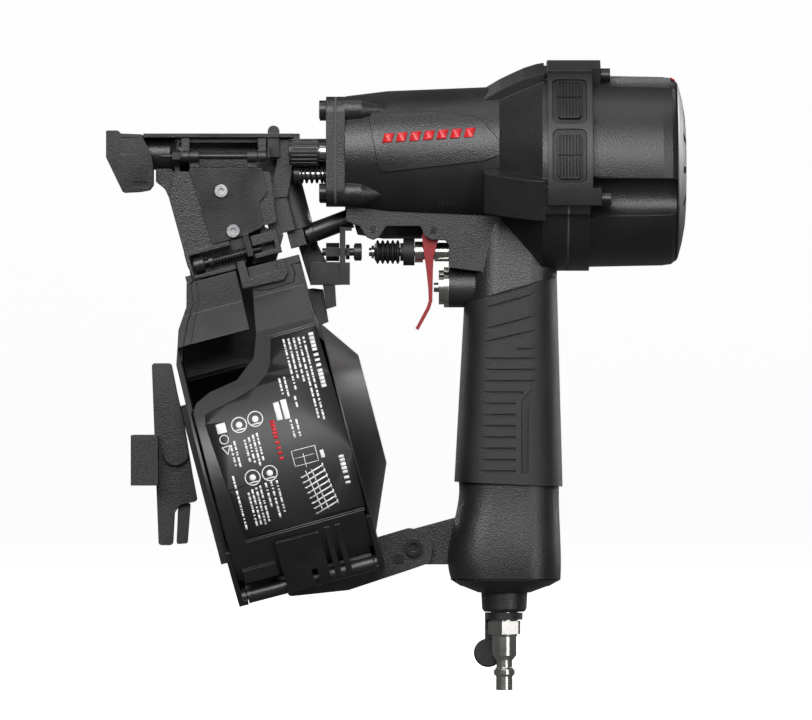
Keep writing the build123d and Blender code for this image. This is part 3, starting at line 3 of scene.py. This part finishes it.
import bmesh
import bpy
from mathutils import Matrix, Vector


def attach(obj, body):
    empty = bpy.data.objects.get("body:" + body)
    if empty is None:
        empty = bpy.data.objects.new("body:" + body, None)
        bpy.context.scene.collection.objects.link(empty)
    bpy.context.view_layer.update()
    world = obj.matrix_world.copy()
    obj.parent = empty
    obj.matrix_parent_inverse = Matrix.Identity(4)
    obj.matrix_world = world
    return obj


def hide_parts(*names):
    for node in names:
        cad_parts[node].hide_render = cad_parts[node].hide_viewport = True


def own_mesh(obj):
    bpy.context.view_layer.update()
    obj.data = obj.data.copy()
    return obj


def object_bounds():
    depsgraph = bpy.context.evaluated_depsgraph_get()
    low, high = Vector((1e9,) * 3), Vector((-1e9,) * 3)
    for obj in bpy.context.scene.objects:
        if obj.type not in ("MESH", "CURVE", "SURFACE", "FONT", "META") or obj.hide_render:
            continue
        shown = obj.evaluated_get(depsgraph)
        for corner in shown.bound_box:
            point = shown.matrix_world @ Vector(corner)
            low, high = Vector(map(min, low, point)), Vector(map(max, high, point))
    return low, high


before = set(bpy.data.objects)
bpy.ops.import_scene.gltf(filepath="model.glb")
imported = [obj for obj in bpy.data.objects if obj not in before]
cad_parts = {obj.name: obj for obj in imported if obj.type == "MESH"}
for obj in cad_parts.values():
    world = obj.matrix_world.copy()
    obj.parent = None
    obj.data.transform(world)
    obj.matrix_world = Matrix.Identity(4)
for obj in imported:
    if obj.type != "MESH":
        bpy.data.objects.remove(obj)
cad_low, cad_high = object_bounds()

MM = 0.001
AXIS_Z, CAP_Z = 111.0, 103.0
TILT = math.radians(14.7)
DRUM_X, DRUM_Z, DRUM_Y, DRUM_R = -107.4, -33.5, -14.0, 57.0


# ------------------------------------------------------------------ places
def tilted(a, y, b):
    """Point of the magazine's tilted frame, in the row frame. Millimetres in, metres out."""
    x = DRUM_X + math.cos(TILT) * a - math.sin(TILT) * b
    z = DRUM_Z + math.sin(TILT) * a + math.cos(TILT) * b
    return Vector((x, y, z)) * MM


def plain(x, y, z):
    return Vector((x, y, z)) * MM


ALONG = Vector((math.cos(TILT), 0, math.sin(TILT)))
UPWARD = Vector((-math.sin(TILT), 0, math.cos(TILT)))


# ------------------------------------------------------------------ materials
def node(tree, kind, **inputs):
    made = tree.nodes.new(kind)
    for key, value in inputs.items():
        name = key.replace("_", " ")
        if name in made.inputs:
            made.inputs[name].default_value = value
        else:
            setattr(made, key, value)
    return made


def noise(tree, where, scale, detail=3.0):
    made = node(tree, "ShaderNodeTexNoise", Scale=scale, Detail=detail)
    tree.links.new(where, made.inputs["Vector"])
    return made.outputs["Fac"]


def ranged(tree, value, low, high, out_low, out_high):
    made = tree.nodes.new("ShaderNodeMapRange")
    tree.links.new(value, made.inputs["Value"])
    for name, number in (("From Min", low), ("From Max", high), ("To Min", out_low), ("To Max", out_high)):
        made.inputs[name].default_value = number
    return made.outputs["Result"]


def blended(tree, share, first, second):
    """Mix of two colours; each is a socket or a plain colour."""
    made = tree.nodes.new("ShaderNodeMix")
    made.data_type = "RGBA"
    tree.links.new(share, made.inputs["Factor"])
    for socket, colour in ((made.inputs["A"], first), (made.inputs["B"], second)):
        if isinstance(colour, bpy.types.NodeSocket):
            tree.links.new(colour, socket)
        else:
            socket.default_value = (*colour, 1.0)
    return made.outputs["Result"]


def surface(name, colour, rough, metal=0.0, grain=(900.0, 0.3), waves=(60.0, 0.12), wear=0.0,
            worn=(0.35, 0.35, 0.36), stretch=(1.0, 1.0, 1.0), edge=0.35, specular=0.5):
    """Procedural finish: tone that drifts, roughness that varies, fine grain, softened and worn edges."""
    made = bpy.data.materials.new(name)
    made.use_nodes = True
    tree = made.node_tree
    shader = tree.nodes["Principled BSDF"]
    shader.inputs["Metallic"].default_value = metal
    shader.inputs["Specular IOR Level"].default_value = specular
    where = tree.nodes.new("ShaderNodeTexCoord").outputs["Object"]
    mapped = node(tree, "ShaderNodeMapping")
    mapped.inputs["Scale"].default_value = stretch
    tree.links.new(where, mapped.inputs["Vector"])
    fine = noise(tree, mapped.outputs["Vector"], grain[0], 2.0)
    broad = noise(tree, where, waves[0], 4.0)
    dark = [c * (1 - waves[1]) for c in colour]
    light = [min(1.0, c * (1 + waves[1]) + 0.004) for c in colour]
    tone = blended(tree, ranged(tree, broad, 0.3, 0.7, 0.0, 1.0), dark, light)
    speck = blended(tree, ranged(tree, fine, 0.35, 0.75, 0.0, 0.35), tone, light)
    soft = node(tree, "ShaderNodeBevel", Radius=edge * MM)
    soft.samples = 4
    if wear:
        geometry = tree.nodes.new("ShaderNodeNewGeometry")
        dot = tree.nodes.new("ShaderNodeVectorMath")
        dot.operation = "DOT_PRODUCT"
        tree.links.new(soft.outputs["Normal"], dot.inputs[0])
        tree.links.new(geometry.outputs["Normal"], dot.inputs[1])
        turned = ranged(tree, dot.outputs["Value"], 0.995, 0.86, 0.0, wear)
        patchy = ranged(tree, noise(tree, where, 220.0), 0.42, 0.62, 0.15, 1.0)
        both = tree.nodes.new("ShaderNodeMath")
        both.operation = "MULTIPLY"
        tree.links.new(turned, both.inputs[0])
        tree.links.new(patchy, both.inputs[1])
        speck = blended(tree, both.outputs["Value"], speck, worn)
    tree.links.new(speck, shader.inputs["Base Color"])
    tree.links.new(ranged(tree, broad, 0.3, 0.7, rough - 0.05, rough + 0.05), shader.inputs["Roughness"])
    bump = node(tree, "ShaderNodeBump", Strength=grain[1], Distance=0.0002)
    tree.links.new(fine, bump.inputs["Height"])
    tree.links.new(soft.outputs["Normal"], bump.inputs["Normal"])
    tree.links.new(bump.outputs["Normal"], shader.inputs["Normal"])
    return made


FINISH = {
    "cast": surface("cast_paint", (0.009, 0.0092, 0.0096), 0.36, grain=(1500.0, 0.9), waves=(35.0, 0.2),
        wear=0.35, worn=(0.07, 0.07, 0.073), edge=0.6),
    "moulded": surface("moulded_plastic", (0.01, 0.01, 0.0108), 0.36, grain=(1900.0, 0.5),
        waves=(30.0, 0.15), wear=0.18, worn=(0.08, 0.08, 0.085), edge=0.5),
    "guard": surface("guard_plastic", (0.013, 0.013, 0.0135), 0.46, grain=(1700.0, 0.5),
        waves=(40.0, 0.15), edge=0.4),
    "rubber": surface("grip_rubber", (0.007, 0.0071, 0.0072), 0.5, grain=(2000.0, 1.0),
        waves=(45.0, 0.25), edge=0.4, specular=0.4),
    "blackened": surface("blackened_steel", (0.026, 0.026, 0.028), 0.33, metal=0.6, grain=(1100.0, 0.3),
        waves=(60.0, 0.25), wear=0.6, worn=(0.22, 0.22, 0.23), edge=0.3),
    "steel": surface("turned_steel", (0.36, 0.36, 0.37), 0.3, metal=1.0, grain=(1600.0, 0.25),
        waves=(50.0, 0.15), stretch=(1.0, 0.2, 0.2), edge=0.25),
    "chrome": surface("plated_steel", (0.5, 0.49, 0.47), 0.24, metal=1.0, grain=(700.0, 0.08),
        waves=(80.0, 0.1), edge=0.25),
    "aluminium": surface("hard_coated_aluminium", (0.48, 0.49, 0.5), 0.32, metal=1.0,
        grain=(1300.0, 0.2), edge=0.3),
    "red": surface("red_plastic", (0.24, 0.004, 0.008), 0.36, grain=(1200.0, 0.15), waves=(70.0, 0.1),
        wear=0.3, worn=(0.6, 0.1, 0.1), edge=0.4),
    "fibre": surface("gasket_fibre", (0.06, 0.055, 0.05), 0.8, grain=(2600.0, 0.6), edge=0.1),
    "label_black": surface("label_film", (0.011, 0.011, 0.012), 0.5, grain=(900.0, 0.05),
        waves=(25.0, 0.06), edge=0.05),
    "ink_white": surface("ink_white", (0.74, 0.75, 0.76), 0.35, grain=(2500.0, 0.1), waves=(300.0, 0.06),
        edge=0.05),
    "edge_grey": surface("edge_grey", (0.14, 0.14, 0.145), 0.4, grain=(2500.0, 0.1), edge=0.05),
    "ink_red": surface("ink_red", (0.52, 0.012, 0.018), 0.35, grain=(2500.0, 0.1), waves=(300.0, 0.1),
        edge=0.05),
}
NODE_FINISH = {
    "cast": ("body_housing", "rear_cap", "nose_guide", "door", "magazine_arm", "end_cap", "feed_cylinder",
             "exhaust_cover", "latch_hook"),
    "guard": ("side_guards",),
    "rubber": ("grip_sleeve", "guard_pads", "piston_bumper", "seal_rings", "dust_cap", "rod_bellows",
               "boot_ring"),
    "moulded": ("magazine_canister", "magazine_cover", "nail_tray", "tray_post", "shingle_gauge",
                "gauge_knob"),
    "red": ("trigger",),
    "steel": ("driver_blade", "trip_rod", "valve_plunger", "nose_studs", "feed_pawl", "door_screws"),
    "blackened": ("cap_bolts", "body_bolts", "contact_foot", "contact_arm", "trip_screw", "trip_bracket",
                  "depth_adjuster", "stop_pin", "door_plate", "latch_bolt", "door_hinge_pin",
                  "cover_hinge_pin", "housing_pins", "hinge_clip", "feed_cylinder_cap", "feed_air_tube"),
    "chrome": ("air_plug", "trigger_valve_body", "rod_guide_tube"),
    "aluminium": ("cylinder_liner", "piston", "feed_piston", "head_valve"),
    "fibre": ("gaskets", "piston_ring"),
}


for finish, names in NODE_FINISH.items():
    for name in names:
        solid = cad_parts[name]
        for place in solid.material_slots:
            place.material = FINISH[finish]


# ------------------------------------------------------------------ meshes
def make_piece(name, built, finish, body):
    """Object from a finished bmesh, riding on a body."""
    mesh = bpy.data.meshes.new(name)
    built.to_mesh(mesh)
    built.free()
    mesh.materials.append(FINISH[finish])
    piece = bpy.data.objects.new(name, mesh)
    bpy.context.scene.collection.objects.link(piece)
    for face in mesh.polygons:
        face.use_smooth = True
    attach(piece, body)
    return piece


def frame_about(direction):
    direction = direction.normalized()
    side = direction.cross(Vector((0, 1, 0)))
    if side.length < 0.1:
        side = direction.cross(Vector((1, 0, 0)))
    side.normalize()
    return direction, side, direction.cross(side)


END_TURN = 0.75                         # closed turns at each end of a spring


def coil_mesh(start, direction, length, radius, wire, turns):
    """Round-wire compression spring with closed ends."""
    axis, side, other = frame_about(direction)
    steps, round_steps = 20, 8
    total = turns + 2 * END_TURN
    built = bmesh.new()
    rings = []
    for i in range(int(total * steps) + 1):
        turn = i / steps
        closed = min(turn, END_TURN) * wire * 2.0
        working = max(0.0, min(turn - END_TURN, turns)) * (length - 4.4 * wire) / turns
        along = closed + working + max(0.0, turn - END_TURN - turns) * wire * 2.0 + wire
        angle = 2 * math.pi * turn
        out = side * math.cos(angle) + other * math.sin(angle)
        centre = start + axis * along * MM + out * radius * MM
        ring = []
        for k in range(round_steps):
            phi = 2 * math.pi * k / round_steps
            ring.append(built.verts.new(centre + (out * math.cos(phi) + axis * math.sin(phi)) * wire * MM))
        rings.append(ring)
    for first, second in zip(rings, rings[1:]):
        for k in range(round_steps):
            after = (k + 1) % round_steps
            built.faces.new((first[k], first[after], second[after], second[k]))
    built.faces.new(list(reversed(rings[0])))
    built.faces.new(rings[-1])
    bmesh.ops.recalc_face_normals(built, faces=built.faces)
    return built


def turned_mesh(start, direction, profile, segments=48):
    """Closed ring of a profile (distance along, radius) turned about an axis."""
    axis, side, other = frame_about(direction)
    built = bmesh.new()
    rings = []
    for i in range(segments):
        angle = 2 * math.pi * i / segments
        out = side * math.cos(angle) + other * math.sin(angle)
        ring = [start + (axis * along + out * radius) * MM for along, radius in profile]
        rings.append([built.verts.new(place) for place in ring])
    count = len(profile)
    for i in range(segments):
        first, second = rings[i], rings[(i + 1) % segments]
        for k in range(count):
            built.faces.new((first[k], second[k], second[(k + 1) % count], first[(k + 1) % count]))
    bmesh.ops.recalc_face_normals(built, faces=built.faces)
    return built


ALONG_X = Vector((1, 0, 0))
SPRINGS = (
    # node, body, start, direction, length, radius, wire, turns, joint, share of its length kept
    ("head_valve_spring", "body", plain(30.6, 0, AXIS_Z), ALONG_X, 18.8, 15.7, 1.2, 4,
     "head_valve_lift", 0.787),
    ("contact_spring", "body", plain(-98.6, -11.2, 101.4), ALONG_X, 11.8, 3.85, 0.5, 4,
     "contact_arm_press", 0.407),
    ("valve_spring", "body", plain(-19.8, 0, 48.8), ALONG_X, 13.4, 3.15, 0.45, 7, "valve_push", 0.846),
    ("latch_spring", "door", tilted(-6.4, -19.0, 99.4), ALONG, 16.0, 2.05, 0.35, 10, "latch_pull", 0.69),
    ("feed_spring", "body", tilted(35.5, 5.5, 116.7), -UPWARD, 11.8, 4.5, 0.45, 4, "feed_stroke", 0.33),
)
DARK_SPRINGS = ("contact_spring", "latch_spring")
for name, body, start, direction, length, radius, wire, turns, joint, keep in SPRINGS:
    finish, slot_name = ("blackened", "dark_steel") if name in DARK_SPRINGS else ("steel", "steel")
    coil = coil_mesh(start, direction, length, radius, wire, turns)
    spring = make_piece(name + "_coil", coil, finish, body)
    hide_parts(name)
    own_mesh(spring)

BELLOWS_START = plain(-64.0, 0, 65.3)
BELLOWS_LENGTH, FOLDS, FOLD_PITCH = 11.8, 5, 2.35
FOLD_SHAPE = ((0.0, 3.9), (0.12, 4.2), (0.3, 5.2), (0.42, 5.6), (0.58, 5.6), (0.7, 5.2), (0.88, 4.2))


def bellows_profile():
    """Outer folds and inner bore of the boot on the trip rod."""
    outer = [(0.0, 3.6)]
    for fold in range(FOLDS):
        base = 0.3 + fold * FOLD_PITCH
        for share, radius in FOLD_SHAPE:
            outer.append((base + share * FOLD_PITCH, radius))
    outer.append((BELLOWS_LENGTH, 3.8))
    return outer + [(BELLOWS_LENGTH, 2.6), (0.0, 2.6)]


boot_mesh = turned_mesh(BELLOWS_START, ALONG_X, bellows_profile())
boot = make_piece("rod_bellows_boot", boot_mesh, "rubber", "trip_rod")
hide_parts("rod_bellows")
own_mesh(boot)


# ------------------------------------------------------------------ printed graphics
CORNER_ANGLE = math.radians(48.0)       # where the drum's round side runs into the flat neck
NECK_FOLDS = ((62.0, -33.0), (78.0, -23.5), (95.0, -23.5))


def on_cover(a, b, lift):
    """Point on the outside of the magazine cover at a place in the side view, raised by lift."""
    corner = DRUM_R * math.cos(CORNER_ANGLE)
    if abs(b) <= corner:
        half = math.sqrt(DRUM_R ** 2 - b ** 2)
        return tilted(a, DRUM_Y - half * (1 + lift / DRUM_R), b * (1 + lift / DRUM_R))
    table = ((corner, DRUM_Y - DRUM_R * math.sin(CORNER_ANGLE)), *NECK_FOLDS)
    for (b0, y0), (b1, y1) in zip(table, table[1:]):
        if b <= b1:
            y = y0 + (y1 - y0) * (b - b0) / (b1 - b0)
            normal = Vector((-(b1 - b0), y1 - y0)).normalized()
            return tilted(a, y + normal.x * lift, b + normal.y * lift)
    return tilted(a, NECK_FOLDS[-1][1] - lift, b)


PANEL_RISE = 0.9
BARREL = ((-77.7, 27.0), (-58.0, 29.4), (-6.0, 31.5))


def on_barrel(x, z, lift):
    """Point on the raised panel on the barrel's left side."""
    radius = BARREL[-1][1]
    for (x0, r0), (x1, r1) in zip(BARREL, BARREL[1:]):
        if x0 <= x <= x1:
            radius = r0 + (r1 - r0) * (x - x0) / (x1 - x0)
    radius += PANEL_RISE + lift
    rise = z - AXIS_Z
    return plain(x, -math.sqrt(radius ** 2 - rise ** 2), z)


def printed(name, shapes, mapping, finish, body, lift, step=1.5, thick=0.04):
    """Thin printed film: flat outlines, cut fine enough to follow the surface, then laid on it."""
    built = bmesh.new()
    for outline in shapes:
        corners = [built.verts.new((u, w, 0)) for u, w in outline]
        built.faces.new(corners)
    bmesh.ops.triangulate(built, faces=built.faces)
    low = min(v.co.y for v in built.verts)
    high = max(v.co.y for v in built.verts)
    cut = math.floor(low / step) * step + step
    while cut < high:
        geometry = built.verts[:] + built.edges[:] + built.faces[:]
        bmesh.ops.bisect_plane(built, geom=geometry, plane_co=(0, cut, 0), plane_no=(0, 1, 0), dist=1e-6)
        cut += step
    for vertex in built.verts:
        vertex.co = mapping(vertex.co.x, vertex.co.y, lift)
    bmesh.ops.recalc_face_normals(built, faces=built.faces)
    piece = make_piece(name, built, finish, body)
    shell = piece.modifiers.new("film", "SOLIDIFY")
    shell.thickness = thick * MM
    shell.offset = 0.0
    return piece


def ring_outline(centre, radius, count=28):
    return [(centre[0] + radius * math.cos(2 * math.pi * k / count),
             centre[1] + radius * math.sin(2 * math.pi * k / count)) for k in range(count)]


def annulus(centre, radius, width, count=28):
    """Ring as a row of quads."""
    outer, inner = ring_outline(centre, radius, count), ring_outline(centre, radius - width, count)
    return [[outer[k], outer[(k + 1) % count], inner[(k + 1) % count], inner[k]] for k in range(count)]


def box_outline(a, b):
    return [(a[0], b[0]), (a[1], b[0]), (a[1], b[1]), (a[0], b[1])]


LABEL_EDGE = (
    (10.60, 58.77), (31.92, 59.43), (32.89, 35.62), (34.03, -2.18), (32.93, -28.33),
    (4.39, -29.01), (-24.15, -29.70), (-26.02, -5.65), (-28.69, 26.30), (-27.39, 31.24),
    (-13.60, 34.35), (-2.17, 37.61), (4.76, 42.04), (7.53, 47.08))
PRINT_LIFT = 0.09
printed("label_panel", [LABEL_EDGE], on_cover, "label_black", "cover", 0.03)


def text_bars(a, b, gap_seed, thickness=1.0):
    """Row of short bars along the label that stands for a line of small print."""
    bars = []
    at = b[0]
    index = gap_seed
    while at - 1.0 > b[1]:
        index = (index * 37 + 11) % 101
        length = 0.7 + (index % 5) * 0.42
        end = max(at - length, b[1])
        bars.append(box_outline((a - thickness / 2, a + thickness / 2), (end, at)))
        at = end - 0.34 - (0.5 if index % 3 == 0 else 0.0)
    return bars


def heading_bars(a, b, width):
    """Bold generic marks that stand for a heading."""
    bars = []
    at = b[0]
    index = 5
    while at - 1.0 > b[1]:
        index = (index * 29 + 7) % 97
        length = 1.15 + (index % 3) * 0.2
        bars.append(box_outline((a - width / 2, a + width / 2), (max(at - length, b[1]), at)))
        at -= length + 0.32 + (0.9 if index % 7 == 0 else 0.0)
    return bars


TEXT_LINES = (
    # place across the label, upper end, lower end
    (25.2, 54.6, 15.2), (22.9, 54.9, 16.4), (20.6, 55.2, 33.6), (18.2, 55.5, 36.4), (15.9, 55.8, 31.8),
    (9.6, 38.8, 30.4), (12.0, 38.8, 29.6), (14.6, 29.0, 22.6), (12.6, 18.6, 9.0), (10.0, 18.9, 9.6),
    (-8.6, 16.6, 2.0), (-10.7, 16.0, 2.6), (-12.8, 15.4, 3.4), (-6.6, 17.0, 3.0), (-17.6, 16.0, 3.2),
    (-19.6, 14.6, 4.0), (-17.2, -8.6, -24.6), (-15.2, -7.6, -24.9), (-13.2, -7.2, -25.1),
    (-11.2, -6.8, -24.0), (-8.4, -6.2, -17.8), (-5.8, -6.3, -24.2), (-3.2, -6.4, -22.2),
    (-22.2, 0.6, -25.4))
white_marks = heading_bars(28.9, (55.6, 28.2), 2.3) + heading_bars(28.4, (-2.6, -16.6), 2.4)
for row, (a, top, bottom) in enumerate(TEXT_LINES):
    white_marks += text_bars(a, (top, bottom), row + 3, 0.95)
for a, bottom, top in ((5.4, 20.0, 28.4), (8.9, 19.6, 28.8)):
    white_marks.append(box_outline((a - 1.35, a + 1.35), (bottom, top)))
for a, b in ((-13.5, 22.6), (-5.6, 23.4), (-13.5, -2.4), (-5.4, -2.4)):
    white_marks += annulus((a, b), 3.7, 0.5)
    white_marks += [ring_outline((a, b), 1.5, 16), box_outline((a - 2.1, a + 2.1), (b - 2.5, b - 1.9))]
white_marks += annulus((-21.8, 17.8), 2.2, 0.4) + [box_outline((-24.0, -19.6), (20.8, 25.4))]
TRIANGLE = ((-24.0, 14.6), (-19.6, 14.6), (-21.8, 10.4))
TRIANGLE_MIDDLE, TRIANGLE_BAND = (-21.8, 13.2), 0.28
inside = [tuple(at + TRIANGLE_BAND * (middle - at) for at, middle in zip(corner, TRIANGLE_MIDDLE))
          for corner in TRIANGLE]
for k in range(3):
    after = (k + 1) % 3
    white_marks.append([TRIANGLE[k], TRIANGLE[after], inside[after], inside[k]])
GAUGE_LINES = (
    (6.6, 18.0, -2.6, -2.3), (6.6, 18.0, 4.6, 4.9), (6.6, 6.9, -2.6, 4.9), (17.7, 18.0, -2.6, 4.9),
    (11.6, 11.9, -4.2, 2.4), (7.4, 16.6, 1.0, 1.25), (19.4, 21.2, -1.6, 2.0))
for low_a, high_a, low_b, high_b in GAUGE_LINES:
    white_marks.append(box_outline((low_a, high_a), (low_b, high_b)))
for nail in range(8):
    a, b = 7.6 + nail * 0.35, -8.0 - nail * 2.55
    neck, head = a + 1.4, a + 11.2
    white_marks += [[(a, b), (neck, b + 0.45), (neck, b - 0.45)],
                    [(neck, b + 0.36), (head, b + 3.36), (head, b + 2.64), (neck, b - 0.36)],
                    box_outline((head, head + 0.6), (b + 2.0, b + 4.0))]
for start_a in (10.6, 13.4):
    end_a = start_a + 3.6
    white_marks.append([(start_a, -5.6), (start_a + 0.45, -5.6), (end_a, -25.2), (end_a - 0.45, -25.2)])
printed("label_print", white_marks, on_cover, "ink_white", "cover", PRINT_LIFT)
caution = heading_bars(1.6, (20.8, 2.0), 2.2)
printed("label_caution_bar", caution, on_cover, "ink_red", "cover", PRINT_LIFT)
SEAM = 0.35
seams = []
for outline in (((10.6, 58.9), (31.9, 59.5)), ((-24.4, -29.6), (32.6, -28.7))):
    (a0, b0), (a1, b1) = outline
    for shift in (0.0, 0.9):
        start, end = b0 - shift, b1 - shift
        seams.append([(a0, start), (a1, end), (a1, end - SEAM), (a0, start - SEAM)])
printed("label_edge_lines", seams, on_cover, "edge_grey", "cover", PRINT_LIFT)

BADGE_START, BADGE_PITCH, BADGE_BARS = -60.4, 6.3, 7
badge = []
for bar in range(BADGE_BARS):
    x = BADGE_START + bar * BADGE_PITCH
    z = 115.6 + bar * 0.42
    badge.append([(x, z), (x + 4.4, z + 0.3), (x + 5.6, z + 4.6), (x + 1.2, z + 4.3)])
printed("barrel_accent", badge, on_barrel, "ink_red", "body", 0.35, thick=0.5)

CAP_REAR = (74.0, 76.2)


def on_cap(x, across, lift):
    """Point on the top rear edge of the cap."""
    radius = 43.6 + lift - (x - CAP_REAR[0]) * 0.55
    return plain(x, across, CAP_Z + math.sqrt(radius ** 2 - across ** 2))


accent = [box_outline(CAP_REAR, span) for span in ((-7.0, -2.0), (2.0, 7.0))]
printed("cap_accent", accent, on_cap, "ink_red", "body", 0.2, thick=0.3)

# ------------------------------------------------------------------ room, light and camera
floor_mesh = bpy.data.meshes.new("floor")
floor_build = bmesh.new()
BOWL_R, BOWL_CURVE, BOWL_HEIGHT, BOWL_SIDES = 7.0, 1.5, 8.0, 48
profile = [(0.05, 0.0), (BOWL_R, 0.0)]
for step in range(1, 9):
    turn = step * math.pi / 16
    profile.append((BOWL_R + BOWL_CURVE * math.sin(turn), BOWL_CURVE - BOWL_CURVE * math.cos(turn)))
profile.append((BOWL_R + BOWL_CURVE, BOWL_HEIGHT))
rows = []
for radius, height in profile:
    around = [2 * math.pi * k / BOWL_SIDES for k in range(BOWL_SIDES)]
    height += cad_low.z - 0.002
    places = [(radius * math.cos(turn), radius * math.sin(turn), height) for turn in around]
    rows.append([floor_build.verts.new(place) for place in places])
for first, second in zip(rows, rows[1:]):
    for k in range(BOWL_SIDES):
        after = (k + 1) % BOWL_SIDES
        floor_build.faces.new((first[k], second[k], second[after], first[after]))
floor_build.faces.new(list(reversed(rows[0])))
bmesh.ops.recalc_face_normals(floor_build, faces=floor_build.faces)
floor_build.to_mesh(floor_mesh)
floor_build.free()
for face in floor_mesh.polygons:
    face.use_smooth = True
floor = bpy.data.objects.new("floor", floor_mesh)
bpy.context.scene.collection.objects.link(floor)
pale = surface("pale_floor", (0.9, 0.9, 0.9), 0.7, grain=(40.0, 0.02), waves=(1.0, 0.01))
floor_mesh.materials.append(pale)
floor.visible_diffuse = False
floor.visible_glossy = False
floor.visible_shadow = False
floor_shader = pale.node_tree.nodes["Principled BSDF"]
floor_shader.inputs["Emission Color"].default_value = (1.0, 1.0, 1.0, 1.0)
floor_shader.inputs["Emission Strength"].default_value = 0.85

world = bpy.data.worlds.new("studio")
bpy.context.scene.world = world
world.use_nodes = True
background = world.node_tree.nodes["Background"]
background.inputs["Color"].default_value = (1.0, 1.0, 1.0, 1.0)
background.inputs["Strength"].default_value = 0.12


def area_light(name, place, target, size, power):
    """Softbox at a place, in metres, turned to a target."""
    lamp = bpy.data.lights.new(name, "AREA")
    lamp.shape = "RECTANGLE"
    lamp.size, lamp.size_y = size
    lamp.energy = power
    made = bpy.data.objects.new(name, lamp)
    bpy.context.scene.collection.objects.link(made)
    made.location = place
    made.rotation_euler = (Vector(target) - Vector(place)).to_track_quat("-Z", "Y").to_euler()


area_light("key", (-0.35, -1.5, 0.85), (-0.04, 0, 0.02), (1.3, 1.0), 36.0)
area_light("fill", (0.8, -1.2, 0.1), (-0.04, 0, 0.0), (0.5, 1.0), 7.0)
area_light("back_left", (-1.1, 1.3, 0.7), (-0.04, 0, 0.0), (0.7, 0.7), 16.0)
area_light("back_right", (1.2, 1.2, 0.5), (-0.04, 0, 0.0), (0.7, 0.7), 16.0)
area_light("top", (0.0, -0.2, 1.3), (-0.04, 0, 0.05), (1.2, 0.35), 4.0)

VIEW_CENTRE = (-49.29, 14.88)           # X and Z in the middle of the picture, millimetres
VIEW_WIDTH, DISTANCE, SENSOR = 377.58 * MM, 5.0, 36.0
NEAR_SIDE = 0.02                        # the tool's left side lies this far ahead of its middle
camera_data = bpy.data.cameras.new("camera")
camera_data.sensor_width = SENSOR
camera_data.lens = SENSOR * (DISTANCE - NEAR_SIDE) / VIEW_WIDTH
camera = bpy.data.objects.new("camera", camera_data)
bpy.context.scene.collection.objects.link(camera)
camera.location = (VIEW_CENTRE[0] * MM, -DISTANCE, VIEW_CENTRE[1] * MM)
camera.rotation_euler = (math.pi / 2, 0, 0)
bpy.context.scene.camera = camera
bpy.context.scene.view_settings.view_transform = "Standard"
